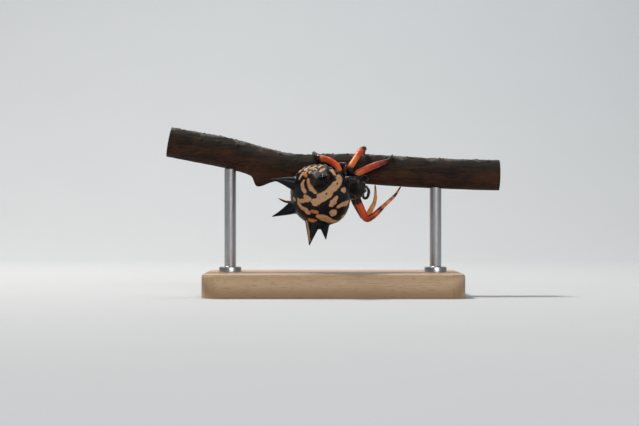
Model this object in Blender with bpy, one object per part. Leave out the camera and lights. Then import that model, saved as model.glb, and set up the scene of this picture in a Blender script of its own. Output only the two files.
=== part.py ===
"""Spiny orb weaver on a cut twig, a still life-size model on a plain display stand.

The spider hangs under the front of the twig with its back turned to the viewer and down.
World axes: +X along the twig toward the spider's head, +Y away from the viewer, +Z up.
The origin is the middle of the base's underside.
Body axes, used for all that belongs to the body: +X head end, +Y the spider's left, +Z its back.
"""
import math
import random

import bmesh
import bpy
from mathutils import Matrix, Vector

for old in list(bpy.data.objects):
    bpy.data.objects.remove(old, do_unlink=True)

# Every size below is in millimetres, and MM turns it into metres.
MM = 0.001

# Where a rod meets its neighbour it leaves this gap
SEAM = 0.25

# Stand
BASE_LENGTH = 26.0
BASE_DEPTH = 15.2
BASE_HEIGHT = 2.4
BASE_CORNER = 2.0
BASE_EDGE = 0.3
ROD_X = 10.5
ROD_RADIUS = 0.6

# Twig: its axis runs in a shallow arc that falls to the right, and sags beside the bud
TWIG_LENGTH = 34.0
TWIG_RADIUS = 1.54
TWIG_ROUGHNESS = 0.04
TWIG_HEIGHT = 13.24
TWIG_Y = 1.5
TWIG_FALL = 0.102
TWIG_ARC = 0.0025
SAG_DEPTH = 0.8
SAG_X = -4.4
SAG_SPREAD = 4.7
TWIG_STATIONS = 44
BUD_X = -7.05
BUD_DROP = 2.5
BUD_ROOT_RADIUS = 1.35
BUD_TIP_RADIUS = 0.2

# Body: where the middle of the abdomen hangs, and how the body is turned
BODY_MIDDLE = Vector((-1.2, -2.4, 10.23))
HEAD_AWAY = math.radians(4.0)
HEAD_UP = math.radians(2.8)
BACK_DOWN = math.radians(35.0)

# Abdomen, a broad shield with a domed back, thick flanks and a blunt cone below
ABDOMEN_HALF_LENGTH = 2.96
ABDOMEN_FORWARD = -0.1
ABDOMEN_HALF_WIDTH = 3.3
ABDOMEN_BACK = 2.15
ABDOMEN_BELLY = 2.1
ABDOMEN_LOBE = 0.55
ABDOMEN_RISE = 0.13
ABDOMEN_FULLNESS = 0.89
RIM_AT_REAR = -0.25
RIM_AT_FRONT = 0.5
SPINNERET_X = -0.5
SPINNERET_CONE = 0.25
SPINNERET_GAP = 0.2
SPINNERET_RING_RADIUS = 0.33
SPINNERET_RING_HEIGHT = 0.16
SPINNERET_CIRCLE = 0.17
SPINNERET_LENGTH = 0.34

# Cephalothorax, with a raised brow, a rim over the coxae and a narrow sternum below
CARAPACE_MIDDLE = Vector((3.15, 0.0, -1.0))
CARAPACE_HALF_LENGTH = 1.42
CARAPACE_HALF_WIDTH = 1.4
CARAPACE_TOP = 0.55
BROW_RISE = 0.36
STERNUM_DEPTH = 0.5
STERNUM_NARROWING = 0.5

# Legs: thickness as radii at the coxa's root, the trochanter, the ends of femur, patella, tibia and
# metatarsus, and the claw
LEG_RADII = (0.24, 0.31, 0.31, 0.3, 0.27, 0.25, 0.07)
STOUT_LEG_RADII = (0.24, 0.34, 0.35, 0.32, 0.28, 0.25, 0.07)
THIN_LEG_RADII = (0.22, 0.27, 0.28, 0.26, 0.25, 0.22, 0.07)
KNEE_ROUNDING = 0.42
ROUTE_STEP = 0.3
LEG_SWELL = 0.1


def body_matrix():
    """Turns body axes into world axes: heading, then nose up, then the roll that shows the back."""
    head = Vector((
        math.cos(HEAD_AWAY) * math.cos(HEAD_UP),
        math.sin(HEAD_AWAY) * math.cos(HEAD_UP),
        math.sin(HEAD_UP),
    ))
    upright = Vector((0.0, 0.0, 1.0))
    side = (upright - head * head.dot(upright)).normalized()
    facing = head.cross(side)
    left = side * math.cos(BACK_DOWN) + facing * math.sin(BACK_DOWN)
    back = facing * math.cos(BACK_DOWN) - side * math.sin(BACK_DOWN)
    turn = Matrix((head, left, back)).transposed().to_4x4()
    return Matrix.Translation(BODY_MIDDLE * MM) @ turn


BODY = body_matrix()


def on_body(x, y, z):
    """World place, in millimetres, of a point given in body axes."""
    return (BODY @ (Vector((x, y, z)) * MM)) / MM


def smooth(low, high, value):
    """Eases from 0 at low to 1 at high."""
    t = min(max((value - low) / (high - low), 0.0), 1.0)
    return t * t * (3.0 - 2.0 * t)


def material(name, colour, roughness, metallic=0.0):
    made = bpy.data.materials.new(name)
    made.use_nodes = True
    shader = made.node_tree.nodes["Principled BSDF"]
    shader.inputs["Base Color"].default_value = (*colour, 1.0)
    shader.inputs["Roughness"].default_value = roughness
    shader.inputs["Metallic"].default_value = metallic
    return made


BLACK_CUTICLE = material("black_cuticle", (0.012, 0.012, 0.016), 0.3)
PATTERNED_CUTICLE = material("patterned_cuticle", (0.62, 0.45, 0.26), 0.32)
LEG_CUTICLE = material("leg_cuticle", (0.62, 0.13, 0.03), 0.35)
EYE_LENS = material("eye_lens", (0.01, 0.008, 0.008), 0.08)
BARK = material("bark", (0.11, 0.06, 0.045), 0.85)
STAND_WOOD = material("stand_wood", (0.42, 0.33, 0.24), 0.5)
STAND_STEEL = material("stand_steel", (0.5, 0.5, 0.5), 0.3, 1.0)


def add_object(name, mesh, surface):
    made = bpy.data.objects.new(name, mesh)
    bpy.context.collection.objects.link(made)
    mesh.materials.clear()
    mesh.materials.append(surface)
    return made


def mesh_from(bm, name):
    bmesh.ops.recalc_face_normals(bm, faces=bm.faces)
    mesh = bpy.data.meshes.new(name)
    bm.to_mesh(mesh)
    bm.free()
    mesh.shade_smooth()
    return mesh


def rounded_route(joints, corner):
    """A dense route through the joints, with each bend cut short and rounded."""
    route = [joints[0]]
    for before, bend, after in zip(joints, joints[1:], joints[2:]):
        enter = bend + (before - bend).normalized() * min(corner, (before - bend).length * 0.45)
        leave = bend + (after - bend).normalized() * min(corner, (after - bend).length * 0.45)
        for step in range(5):
            t = step / 4.0
            route.append(enter * (1 - t) ** 2 + bend * 2 * t * (1 - t) + leave * t ** 2)
    route.append(joints[-1])
    return route


def distances(points):
    """How far along the way each point lies."""
    lengths = [0.0]
    for a, b in zip(points, points[1:]):
        lengths.append(lengths[-1] + (b - a).length)
    return lengths


def resample(route, spacing):
    """Points at even distances along a route, its two ends kept."""
    lengths = distances(route)
    count = max(3, round(lengths[-1] / spacing))
    points = []
    leg = 0
    for number in range(count + 1):
        along = lengths[-1] * number / count
        while leg < len(lengths) - 2 and lengths[leg + 1] < along:
            leg += 1
        span = lengths[leg + 1] - lengths[leg]
        t = (along - lengths[leg]) / span if span > 0 else 0.0
        points.append(route[leg].lerp(route[leg + 1], t))
    return points


def tube(name, points, radii, bevel_resolution):
    """A closed tube of changing thickness along world points in millimetres."""
    curve = bpy.data.curves.new(name, "CURVE")
    curve.dimensions = "3D"
    curve.bevel_depth = MM
    curve.bevel_resolution = bevel_resolution
    curve.use_fill_caps = True
    spline = curve.splines.new("POLY")
    spline.points.add(len(points) - 1)
    for target, point, radius in zip(spline.points, points, radii):
        target.co = (*(point * MM), 1.0)
        target.radius = radius
    return curve


def curve_to_mesh(curve):
    """The closed mesh of a tube."""
    holder = bpy.data.objects.new("holder", curve)
    bpy.context.collection.objects.link(holder)
    bpy.context.view_layer.update()
    mesh = bpy.data.meshes.new_from_object(holder.evaluated_get(bpy.context.evaluated_depsgraph_get()))
    bpy.data.objects.remove(holder, do_unlink=True)
    bm = bmesh.new()
    bm.from_mesh(mesh)
    bmesh.ops.remove_doubles(bm, verts=bm.verts, dist=1e-7)
    bpy.data.meshes.remove(mesh)
    return mesh_from(bm, curve.name)


def keep_largest(mesh):
    """Leaves the largest closed surface of a mesh."""
    bm = bmesh.new()
    bm.from_mesh(mesh)
    left = set(bm.faces)
    islands = []
    while left:
        stack = [left.pop()]
        island = set(stack)
        while stack:
            face = stack.pop()
            for edge in face.edges:
                for other in edge.link_faces:
                    if other in left:
                        left.remove(other)
                        island.add(other)
                        stack.append(other)
        islands.append(island)
    islands.sort(key=lambda faces: sum(face.calc_area() for face in faces))
    for island in islands[:-1]:
        bmesh.ops.delete(bm, geom=list(island), context="FACES")
    bm.to_mesh(mesh)
    bm.free()


def join_pieces(target, meshes, operation="UNION"):
    """One Boolean of the target with closed meshes, applied."""
    group = bpy.data.collections.new("pieces")
    for mesh in meshes:
        group.objects.link(bpy.data.objects.new("piece", mesh))
    bpy.context.scene.collection.children.link(group)
    union = target.modifiers.new("join", "BOOLEAN")
    union.operation = operation
    union.operand_type = "COLLECTION"
    union.collection = group
    union.solver = "EXACT"
    bpy.context.view_layer.update()
    joined = bpy.data.meshes.new_from_object(
        target.evaluated_get(bpy.context.evaluated_depsgraph_get()))
    target.modifiers.remove(union)
    old = target.data
    surface = old.materials[0]
    target.data = joined
    joined.materials.clear()
    joined.materials.append(surface)
    bpy.data.meshes.remove(old)
    for piece in list(group.objects):
        bpy.data.objects.remove(piece, do_unlink=True)
    bpy.data.collections.remove(group)
    keep_largest(joined)


def spine(root, tip, root_radius, tip_radius, sag, steps, flare=1.35):
    """A tapering spine from a sunk root to its tip, a little bowed. It is a cone at a flare of 1."""
    points = []
    radii = []
    for step in range(steps + 1):
        t = step / steps
        bow = Vector(sag) * math.sin(math.pi * t)
        points.append(root.lerp(tip, t) + bow)
        radii.append(tip_radius + (root_radius - tip_radius) * (1.0 - t) ** flare)
    return curve_to_mesh(tube("spine", points, radii, bevel_resolution=3))


def full(value, power):
    """Pushes a point of a unit ball outward, so that the ball turns boxier as power falls below 1."""
    return math.copysign(abs(value) ** power, value)


def spread(x, y, width):
    """A bell over the belly's middle that lifts the cone of the spinnerets."""
    return math.exp(-((x - SPINNERET_X) ** 2 + y ** 2) / width ** 2)


# Spines in body axes, written for the left and mirrored to the right: sunk root, tip, root radius, flare
# and sideways bow. The last pair is how much further forward the left one's root and tip stand.
SPINES = (
    ((-1.75, 0.95, -0.27), (-4.98, 2.29, 0.16), 1.09, 1.2, (0.0, 0.1, 0.03), (0.0, 0.0)),
    ((-0.7, 1.9, 0.45), (-1.45, 4.0, 3.05), 1.18, 1.1, (0.0, 0.05, -0.03), (0.35, 0.7)),
    ((0.15, 2.05, 0.45), (0.27, 3.85, 2.4), 1.0, 1.1, (0.0, 0.0, 0.0), (0.12, 0.1)),
)
SPINE_TIP_RADIUS = 0.05
FOOTING_MIDDLE = (-0.35, 2.55, 1.05)
FOOTING_SIZE = (1.15, 0.78, 0.85)
FOOTING_LEAD = 0.25


def abdomen():
    """The hard shield of the abdomen, its six spines and the footing that each side pair shares."""
    bm = bmesh.new()
    bmesh.ops.create_uvsphere(bm, u_segments=44, v_segments=22, radius=1.0)
    for vert in bm.verts:
        x, y, z = (full(value, ABDOMEN_FULLNESS) for value in vert.co)
        across = Vector((ABDOMEN_FORWARD + ABDOMEN_HALF_LENGTH * x, ABDOMEN_HALF_WIDTH * y, 0.0))
        rim = RIM_AT_REAR + (RIM_AT_FRONT - RIM_AT_REAR) * smooth(-0.9, 0.9, x)
        if z >= 0.0:
            across.z = rim + (ABDOMEN_BACK * (1.0 + ABDOMEN_RISE * x) - rim) * z
        else:
            depth = ABDOMEN_BELLY + (ABDOMEN_LOBE - ABDOMEN_BELLY) * smooth(0.15, 0.7, x)
            across.z = rim + (depth + rim) * z - SPINNERET_CONE * spread(across.x, across.y, 0.8)
        vert.co = across * MM
    shield = add_object("abdomen", mesh_from(bm, "abdomen"), PATTERNED_CUTICLE)
    pieces = []
    for side, forward in ((1, 1.0), (-1, 0.0)):
        mirror = Vector((1.0, side, 1.0))
        for root, tip, root_radius, flare, bow, (root_lead, tip_lead) in SPINES:
            pieces.append(spine(
                Vector(root) * mirror + Vector((root_lead * forward, 0.0, 0.0)),
                Vector(tip) * mirror + Vector((tip_lead * forward, 0.0, 0.0)),
                root_radius, SPINE_TIP_RADIUS, Vector(bow) * mirror, steps=8, flare=flare))
        foot = bmesh.new()
        bmesh.ops.create_uvsphere(foot, u_segments=16, v_segments=8, radius=1.0)
        for vert in foot.verts:
            place = Vector(FOOTING_MIDDLE) + vert.co * Vector(FOOTING_SIZE)
            place.x += FOOTING_LEAD * forward
            vert.co = place * mirror * MM
        pieces.append(mesh_from(foot, "footing"))
    join_pieces(shield, pieces)
    shield.matrix_world = BODY
    return shield


def spinnerets():
    """The ring of spinnerets, three pairs of short cones round the middle of the belly's cone."""
    ceiling = -ABDOMEN_BELLY - SPINNERET_CONE - SPINNERET_GAP
    middle = ceiling - SPINNERET_RING_HEIGHT / 2.0
    ring = bmesh.new()
    bmesh.ops.create_cone(
        ring, cap_ends=True, segments=16, radius1=SPINNERET_RING_RADIUS * MM,
        radius2=SPINNERET_RING_RADIUS * MM, depth=SPINNERET_RING_HEIGHT * MM)
    bmesh.ops.translate(ring, verts=ring.verts, vec=Vector((SPINNERET_X, 0.0, middle)) * MM)
    group = add_object("spinnerets", mesh_from(ring, "spinnerets"), BLACK_CUTICLE)
    cones = []
    for number in range(6):
        turn = math.radians(30.0 + 60.0 * number)
        outward = Vector((math.cos(turn), math.sin(turn), 0.0))
        root = Vector((SPINNERET_X, 0.0, middle)) + outward * SPINNERET_CIRCLE
        tip = root - outward * 0.05 - Vector((0.0, 0.0, SPINNERET_LENGTH))
        cones.append(spine(root, tip, 0.12, 0.04, (0.0, 0.0, 0.0), steps=2))
    join_pieces(group, cones)
    group.matrix_world = BODY
    return group


def carapace_point(x, y, z):
    """A place on the cephalothorax, in body axes, for a point of the unit ball."""
    width = CARAPACE_HALF_WIDTH * (1.0 - 0.12 * smooth(0.1, 1.0, x) - 0.22 * smooth(-0.3, -1.0, x))
    if z >= 0.0:
        level = (CARAPACE_TOP + BROW_RISE * smooth(-0.1, 0.5, x)) * full(z, 0.8)
    else:
        level = STERNUM_DEPTH * full(z, 0.8)
        width *= 1.0 - STERNUM_NARROWING * smooth(0.0, 0.7, -z)
    return CARAPACE_MIDDLE + Vector((CARAPACE_HALF_LENGTH * full(x, 0.85), width * full(y, 0.85), level))


# Eyes of one side: name, direction from the middle of the head as a point of the unit ball, radius
EYES = (
    ("front_middle", (0.93, 0.13, 0.34), 0.13),
    ("rear_middle", (0.82, 0.15, 0.55), 0.12),
    ("front_side", (0.80, 0.55, 0.24), 0.1),
    ("rear_side", (0.70, 0.62, 0.34), 0.1),
)
SOCKET_GAP = 0.06


def eye_ball(place, radius, segments=12):
    bm = bmesh.new()
    bmesh.ops.create_uvsphere(bm, u_segments=segments, v_segments=segments // 2 + 1, radius=radius * MM)
    bmesh.ops.translate(bm, verts=bm.verts, vec=place * MM)
    return mesh_from(bm, "eye")


def cephalothorax():
    """Carapace and sternum in one hard shell, with a socket for each eye."""
    bm = bmesh.new()
    bmesh.ops.create_uvsphere(bm, u_segments=30, v_segments=18, radius=1.0)
    for vert in bm.verts:
        vert.co = carapace_point(*vert.co) * MM
    shell = add_object("cephalothorax", mesh_from(bm, "cephalothorax"), BLACK_CUTICLE)
    sockets = []
    for side, word in ((1, "left"), (-1, "right")):
        for name, (x, y, z), radius in EYES:
            ball = Vector((x, y * side, z)).normalized()
            place = carapace_point(*ball)
            sockets.append(eye_ball(place, radius + SOCKET_GAP, 10))
            eye = add_object(f"eye_{name}_{word}", eye_ball(place, radius), EYE_LENS)
            eye.matrix_world = BODY
    join_pieces(shell, sockets, "DIFFERENCE")
    shell.matrix_world = BODY
    return shell


def limb(name, joints, radii, surface, spacing=ROUTE_STEP, rounding=KNEE_ROUNDING):
    """A jointed limb from root to tip. radii holds one value at each joint."""
    points = resample(rounded_route(joints, rounding), spacing)
    marks = distances(joints)
    along = distances(points)
    stretch = marks[-1] / along[-1]
    thickness = []
    for place in along:
        place *= stretch
        index = 0
        while index < len(marks) - 2 and marks[index + 1] < place:
            index += 1
        t = min((place - marks[index]) / (marks[index + 1] - marks[index]), 1.0)
        here = radii[index] + (radii[index + 1] - radii[index]) * t
        thickness.append(here * (1.0 + LEG_SWELL * math.sin(math.pi * t)))
    made = bpy.data.objects.new(name, tube(name, points, thickness, bevel_resolution=2))
    made.data.materials.append(surface)
    bpy.context.collection.objects.link(made)
    return made


def legs():
    """Eight legs. Joints near the body are in body axes, and the rest stand on the twig."""
    limb("leg_left_1", (
        on_body(3.78, 0.85, -1.78), on_body(3.72, 1.25, -1.68),
        Vector((3.96, -1.0, 13.09)), Vector((4.77, -0.85, 13.38)),
        Vector((5.7, -0.7, 13.62)), Vector((6.0, 0.15, 14.3)), Vector((6.1, 1.5, 14.6))),
        STOUT_LEG_RADII, LEG_CUTICLE)
    limb("leg_left_2", (
        on_body(3.15, 0.85, -1.8), on_body(3.0, 1.88, -1.7),
        Vector((2.81, -0.55, 14.64)), Vector((3.2, 0.35, 14.9)),
        Vector((3.25, 1.9, 15.03)), Vector((3.2, 3.05, 14.5)), Vector((3.1, 3.4, 13.7))),
        LEG_RADII, LEG_CUTICLE)
    limb("leg_left_3", (
        on_body(2.6, 0.85, -1.8), on_body(2.62, 1.1, -2.05),
        on_body(2.8, 1.45, -2.75), on_body(2.4, 1.45, -2.95),
        on_body(1.7, 1.4, -3.05), on_body(1.2, 1.15, -3.1), on_body(0.95, 0.85, -3.05)),
        THIN_LEG_RADII, LEG_CUTICLE)
    limb("leg_left_4", (
        on_body(2.0, 0.9, -1.7), on_body(2.05, 1.5, -1.7), Vector((0.38, -1.4, 13.2)),
        Vector((-0.45, -1.0, 13.76)), Vector((-1.3, -0.8, 13.95)), Vector((-1.62, -0.4, 14.14)),
        Vector((-1.85, 0.6, 14.5)), Vector((-2.0, 1.5, 14.7)), Vector((-2.1, 2.4, 14.3))),
        (0.24, 0.31, 0.33, 0.32, 0.3, 0.28, 0.26, 0.25, 0.07), LEG_CUTICLE)
    limb("leg_right_1", (
        on_body(3.8, -0.85, -1.7), on_body(3.84, -1.8, -1.42),
        Vector((3.36, 0.4, 7.72)), Vector((4.27, 0.5, 8.25)),
        Vector((5.15, 0.75, 9.1)), Vector((6.31, 1.1, 10.12)), Vector((6.9, 1.35, 10.82))),
        LEG_RADII, LEG_CUTICLE)
    limb("leg_right_2", (
        on_body(3.2, -0.85, -1.85), on_body(3.51, -2.28, -1.98),
        Vector((3.2, 1.35, 7.95)), Vector((3.62, 1.45, 8.2)),
        Vector((4.3, 1.5, 9.5)), Vector((4.38, 1.5, 10.3)), Vector((4.3, 1.5, 10.8))),
        THIN_LEG_RADII, LEG_CUTICLE)
    limb("leg_right_3", (
        on_body(2.6, -0.85, -1.8), on_body(2.45, -1.6, -2.15),
        on_body(2.2, -2.75, -2.5), on_body(2.1, -2.75, -3.0),
        on_body(2.0, -2.5, -3.6), on_body(1.95, -2.25, -3.95), on_body(1.9, -2.0, -4.1)),
        THIN_LEG_RADII, LEG_CUTICLE)
    limb("leg_right_4", (
        on_body(2.0, -0.9, -1.7), on_body(1.7, -1.55, -1.95),
        on_body(-0.3, -2.6, -2.6), on_body(-0.9, -2.55, -2.55),
        on_body(-2.4, -2.2, -2.0), on_body(-3.5, -1.65, -1.38), on_body(-4.15, -1.1, -1.2)),
        THIN_LEG_RADII, LEG_CUTICLE)


PALP_RADII = (0.2, 0.25, 0.25, 0.25, 0.08)
FANG_RADII = (0.2, 0.26, 0.25, 0.16, 0.05)


def mouthparts():
    """Two palps that curl in front of the face, and two chelicerae with a folded fang below it."""
    limb("palp_right", (
        on_body(4.2, -0.75, -1.8), on_body(4.43, -1.57, -1.28), on_body(4.76, -1.5, -1.3),
        on_body(4.85, -0.95, -1.4), on_body(4.66, -0.35, -1.6)),
        PALP_RADII, BLACK_CUTICLE, rounding=0.35, spacing=0.2)
    limb("palp_left", (
        on_body(4.2, 0.7, -1.9), on_body(4.58, 0.85, -1.8), on_body(4.9, 0.78, -1.63),
        on_body(5.0, 0.42, -1.68), on_body(4.88, 0.15, -1.98)),
        PALP_RADII, BLACK_CUTICLE, rounding=0.2, spacing=0.2)
    for side, word in ((1, "left"), (-1, "right")):
        limb(f"chelicera_{word}", (
            on_body(4.2, 0.34 * side, -1.62), on_body(4.3, 0.34 * side, -1.95),
            on_body(4.3, 0.34 * side, -2.25), on_body(4.2, 0.3 * side, -2.45),
            on_body(4.0, 0.22 * side, -2.45)),
            FANG_RADII, BLACK_CUTICLE, rounding=0.1, spacing=0.14)


def twig_height(x):
    """Height of the twig's axis over the floor."""
    sag = SAG_DEPTH * math.exp(-((x - SAG_X) / SAG_SPREAD) ** 2)
    return TWIG_HEIGHT - TWIG_FALL * x + TWIG_ARC * x ** 2 - sag


def twig():
    """The cut length of twig, with the small bud that points down from it.

    Its cut ends lean with its slope, so the axis starts a little late on the steeper side, and the
    whole length stays centred over the base.
    """
    draw = random.Random(4)
    points = []
    radii = []
    left_end = -TWIG_LENGTH / 2.0 + TWIG_RADIUS * 2.0 * TWIG_ARC * TWIG_LENGTH
    for step in range(TWIG_STATIONS + 1):
        x = left_end + (TWIG_LENGTH / 2.0 - left_end) * step / TWIG_STATIONS
        points.append(Vector((x, TWIG_Y, twig_height(x))))
        radii.append(TWIG_RADIUS + draw.uniform(-TWIG_ROUGHNESS, TWIG_ROUGHNESS))
    radii[0] = radii[1]
    radii[-1] = radii[-2]
    perch = add_object("perch_twig", curve_to_mesh(tube("perch_twig", points, radii, 5)), BARK)
    top = Vector((BUD_X, TWIG_Y - 0.3, twig_height(BUD_X) - 0.4))
    tip = Vector((BUD_X - 0.1, TWIG_Y - 0.4, twig_height(BUD_X) - BUD_DROP))
    join_pieces(perch, [spine(top, tip, BUD_ROOT_RADIUS, BUD_TIP_RADIUS, (0.1, 0.0, 0.0), steps=5)])
    return perch


def stand():
    """A flat base and two short rods that meet the underside of the twig."""
    bm = bmesh.new()
    bmesh.ops.create_cube(bm, size=1.0)
    for vert in bm.verts:
        vert.co.x *= BASE_LENGTH * MM
        vert.co.y *= BASE_DEPTH * MM
        vert.co.z = (vert.co.z + 0.5) * BASE_HEIGHT * MM
    upright = [edge for edge in bm.edges if abs(edge.verts[0].co.z - edge.verts[1].co.z) > 0.5 * MM]
    bmesh.ops.bevel(
        bm, geom=upright, offset=BASE_CORNER * MM, segments=5, affect="EDGES", profile=0.5, material=-1)
    rim = [edge for edge in bm.edges if min(v.co.z for v in edge.verts) > (BASE_HEIGHT - 0.01) * MM]
    bmesh.ops.bevel(
        bm, geom=rim, offset=BASE_EDGE * MM, segments=2, affect="EDGES", profile=0.5, material=-1)
    add_object("stand_base", mesh_from(bm, "stand_base"), STAND_WOOD)
    for name, x in (("stand_rod_left", -ROD_X), ("stand_rod_right", ROD_X)):
        low = BASE_HEIGHT + SEAM
        lean = abs(twig_height(x + ROD_RADIUS) - twig_height(x - ROD_RADIUS)) / 2.0
        high = twig_height(x) - TWIG_RADIUS - TWIG_ROUGHNESS - lean - SEAM
        rod = bmesh.new()
        bmesh.ops.create_cone(
            rod, cap_ends=True, segments=20, radius1=ROD_RADIUS * MM, radius2=ROD_RADIUS * MM,
            depth=(high - low) * MM)
        bmesh.ops.translate(rod, verts=rod.verts, vec=Vector((x, TWIG_Y, (low + high) / 2.0)) * MM)
        add_object(name, mesh_from(rod, name), STAND_STEEL)


abdomen()
spinnerets()
cephalothorax()
legs()
mouthparts()
twig()
stand()
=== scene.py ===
"""Looks of a spiny orb weaver on a cut twig: hard shell, markings, hairs, bark, stand and light.

Pieces are shaped in millimetres and brought into the frame's metres by settle(), their last step.
World axes: +X along the twig toward the spider's head, +Y away from the viewer, +Z up.
Body axes: +X head end, +Y the spider's left, +Z its back.
"""
import json
import math
import random

import bmesh
import bpy
import numpy as np
from mathutils import Matrix, Vector, noise
from mathutils.bvhtree import BVHTree
from mathutils.kdtree import KDTree


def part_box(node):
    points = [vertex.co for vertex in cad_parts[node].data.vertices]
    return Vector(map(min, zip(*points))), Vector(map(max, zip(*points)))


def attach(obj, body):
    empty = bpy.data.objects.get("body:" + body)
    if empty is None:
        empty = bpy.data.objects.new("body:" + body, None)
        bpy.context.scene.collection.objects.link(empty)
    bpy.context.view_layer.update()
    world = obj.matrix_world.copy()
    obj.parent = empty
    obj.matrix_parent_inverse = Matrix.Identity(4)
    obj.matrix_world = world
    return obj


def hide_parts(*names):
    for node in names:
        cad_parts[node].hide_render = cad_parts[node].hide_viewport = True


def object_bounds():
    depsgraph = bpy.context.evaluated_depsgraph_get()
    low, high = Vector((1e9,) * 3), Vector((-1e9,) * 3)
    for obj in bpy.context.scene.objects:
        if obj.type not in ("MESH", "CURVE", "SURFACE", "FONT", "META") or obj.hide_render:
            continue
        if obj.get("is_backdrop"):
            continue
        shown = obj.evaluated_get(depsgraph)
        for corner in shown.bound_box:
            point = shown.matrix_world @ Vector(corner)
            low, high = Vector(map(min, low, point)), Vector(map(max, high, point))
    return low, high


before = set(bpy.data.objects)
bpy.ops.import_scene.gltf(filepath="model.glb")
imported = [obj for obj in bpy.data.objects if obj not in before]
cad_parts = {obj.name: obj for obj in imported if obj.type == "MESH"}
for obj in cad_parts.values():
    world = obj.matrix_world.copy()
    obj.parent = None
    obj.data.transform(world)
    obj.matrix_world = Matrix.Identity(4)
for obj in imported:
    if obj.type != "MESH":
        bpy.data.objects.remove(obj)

CAD_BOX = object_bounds()


# The stand's base is one small block of close-grained hardwood, sawn flat on the rings, with round
# corners and an eased top edge. It carries both rods. The solid keeps its shape and gets its finish here.
MM = 0.001
RING_PITCH = 1.9
RING_CENTRE = (0.0, 5.0, -14.0)
PALE_WOOD = (0.56, 0.39, 0.235)
DARK_WOOD = (0.36, 0.215, 0.115)
PORE_BROWN = (0.16, 0.085, 0.04)


def finish(name, roughness):
    """A new material with its node tree and its shader."""
    made = bpy.data.materials.new(name)
    made.use_nodes = True
    shader = made.node_tree.nodes["Principled BSDF"]
    shader.inputs["Roughness"].default_value = roughness
    return made, made.node_tree, shader


def node(tree, kind, inputs=None, **settings):
    """Adds a shader node. An input given as a socket is linked, and any other is set on the node."""
    made = tree.nodes.new("ShaderNode" + kind)
    for key, value in settings.items():
        setattr(made, key, value)
    for key, value in (inputs or {}).items():
        if isinstance(value, bpy.types.NodeSocket):
            tree.links.new(value, made.inputs[key])
        else:
            made.inputs[key].default_value = value
    return made


def place(tree, stretch=(1.0, 1.0, 1.0), middle=(0.0, 0.0, 0.0)):
    """Object coordinates in millimetres from a middle, stretched so that a pattern runs finer or longer."""
    where = node(tree, "TexCoord").outputs["Object"]
    shifted = node(tree, "VectorMath", {0: where, 1: [value * MM for value in middle]}, operation="SUBTRACT")
    scale = [value / MM for value in stretch]
    return node(tree, "Mapping", {"Vector": shifted.outputs[0], "Scale": scale}).outputs[0]


def speckle(tree, vector, scale, detail=3.0, roughness=0.55):
    """Noise from 0 to 1 with so many grains a millimetre."""
    grains = {"Vector": vector, "Scale": scale, "Detail": detail, "Roughness": roughness}
    return node(tree, "TexNoise", grains).outputs["Fac"]


def ramp(tree, factor, *stops):
    """Colour or grey that runs through (position, value) stops."""
    made = node(tree, "ValToRGB", {"Fac": factor})
    band = made.color_ramp
    while len(band.elements) < len(stops):
        band.elements.new(1.0)
    for element, (position, value) in zip(band.elements, stops):
        element.position = position
        element.color = (*value, 1.0) if isinstance(value, tuple) else (value, value, value, 1.0)
    return made.outputs["Color"]


def mix(tree, factor, first, second, blend="MIX"):
    """Mixes two colours, each a socket or a plain colour. The node takes them at its sockets 6 and 7."""
    made = node(tree, "Mix", data_type="RGBA", blend_type=blend)
    for key, value in ((0, factor), (6, first), (7, second)):
        target = made.inputs[key]
        if isinstance(value, bpy.types.NodeSocket):
            tree.links.new(value, target)
        elif isinstance(value, tuple):
            target.default_value = (*value, 1.0)
        else:
            target.default_value = value
    return made.outputs[2]


def sums(tree, operation, first, second=0.5, third=0.5):
    """One step of arithmetic on sockets or numbers."""
    return node(tree, "Math", {0: first, 1: second, 2: third}, operation=operation).outputs[0]


def bump(tree, height, depth, under=None):
    """Relief of so many millimetres for a height from 0 to 1, over another relief if one is given."""
    inputs = {"Height": height, "Distance": depth * MM}
    if under is not None:
        inputs["Normal"] = under
    return node(tree, "Bump", inputs).outputs[0]


def wire(tree, shader, **sockets):
    """Links sockets to the shader's inputs, whose names are given with underscores."""
    for key, value in sockets.items():
        tree.links.new(value, shader.inputs[key.replace("_", " ")])


def hardwood():
    """Satin hardwood whose rings run round a line far under the block, with short dark pores."""
    made, tree, shader = finish("hardwood", 0.42)
    rings = node(tree, "TexWave", {
        "Vector": place(tree, (0.04, 1.0, 1.0), RING_CENTRE), "Scale": 0.3 / RING_PITCH,
        "Distortion": 2.4, "Detail": 2.0, "Detail Scale": 0.5}, wave_type="RINGS", rings_direction="X")
    fibre = speckle(tree, place(tree, (0.35, 5.0, 5.0)), 1.6, 4.0, 0.6)
    pores = ramp(tree, speckle(tree, place(tree, (0.5, 7.0, 7.0)), 2.2, 1.0), (0.62, 0.0), (0.7, 1.0))
    colour = mix(tree, rings.outputs["Fac"], PALE_WOOD, DARK_WOOD)
    colour = mix(tree, ramp(tree, fibre, (0.3, 0.0), (0.75, 0.55)), colour, DARK_WOOD)
    colour = mix(tree, sums(tree, "MULTIPLY", pores, 0.45), colour, PORE_BROWN)
    wire(tree, shader, Base_Color=colour, Roughness=ramp(tree, fibre, (0.3, 0.36), (0.8, 0.52)),
         Normal=bump(tree, pores, -0.012, bump(tree, fibre, 0.01)))
    return made


def dress(solid, surface):
    """Gives a CAD node its finish."""
    for slot in solid.material_slots:
        slot.material = surface


dress(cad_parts["stand_base"], hardwood())


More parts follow.
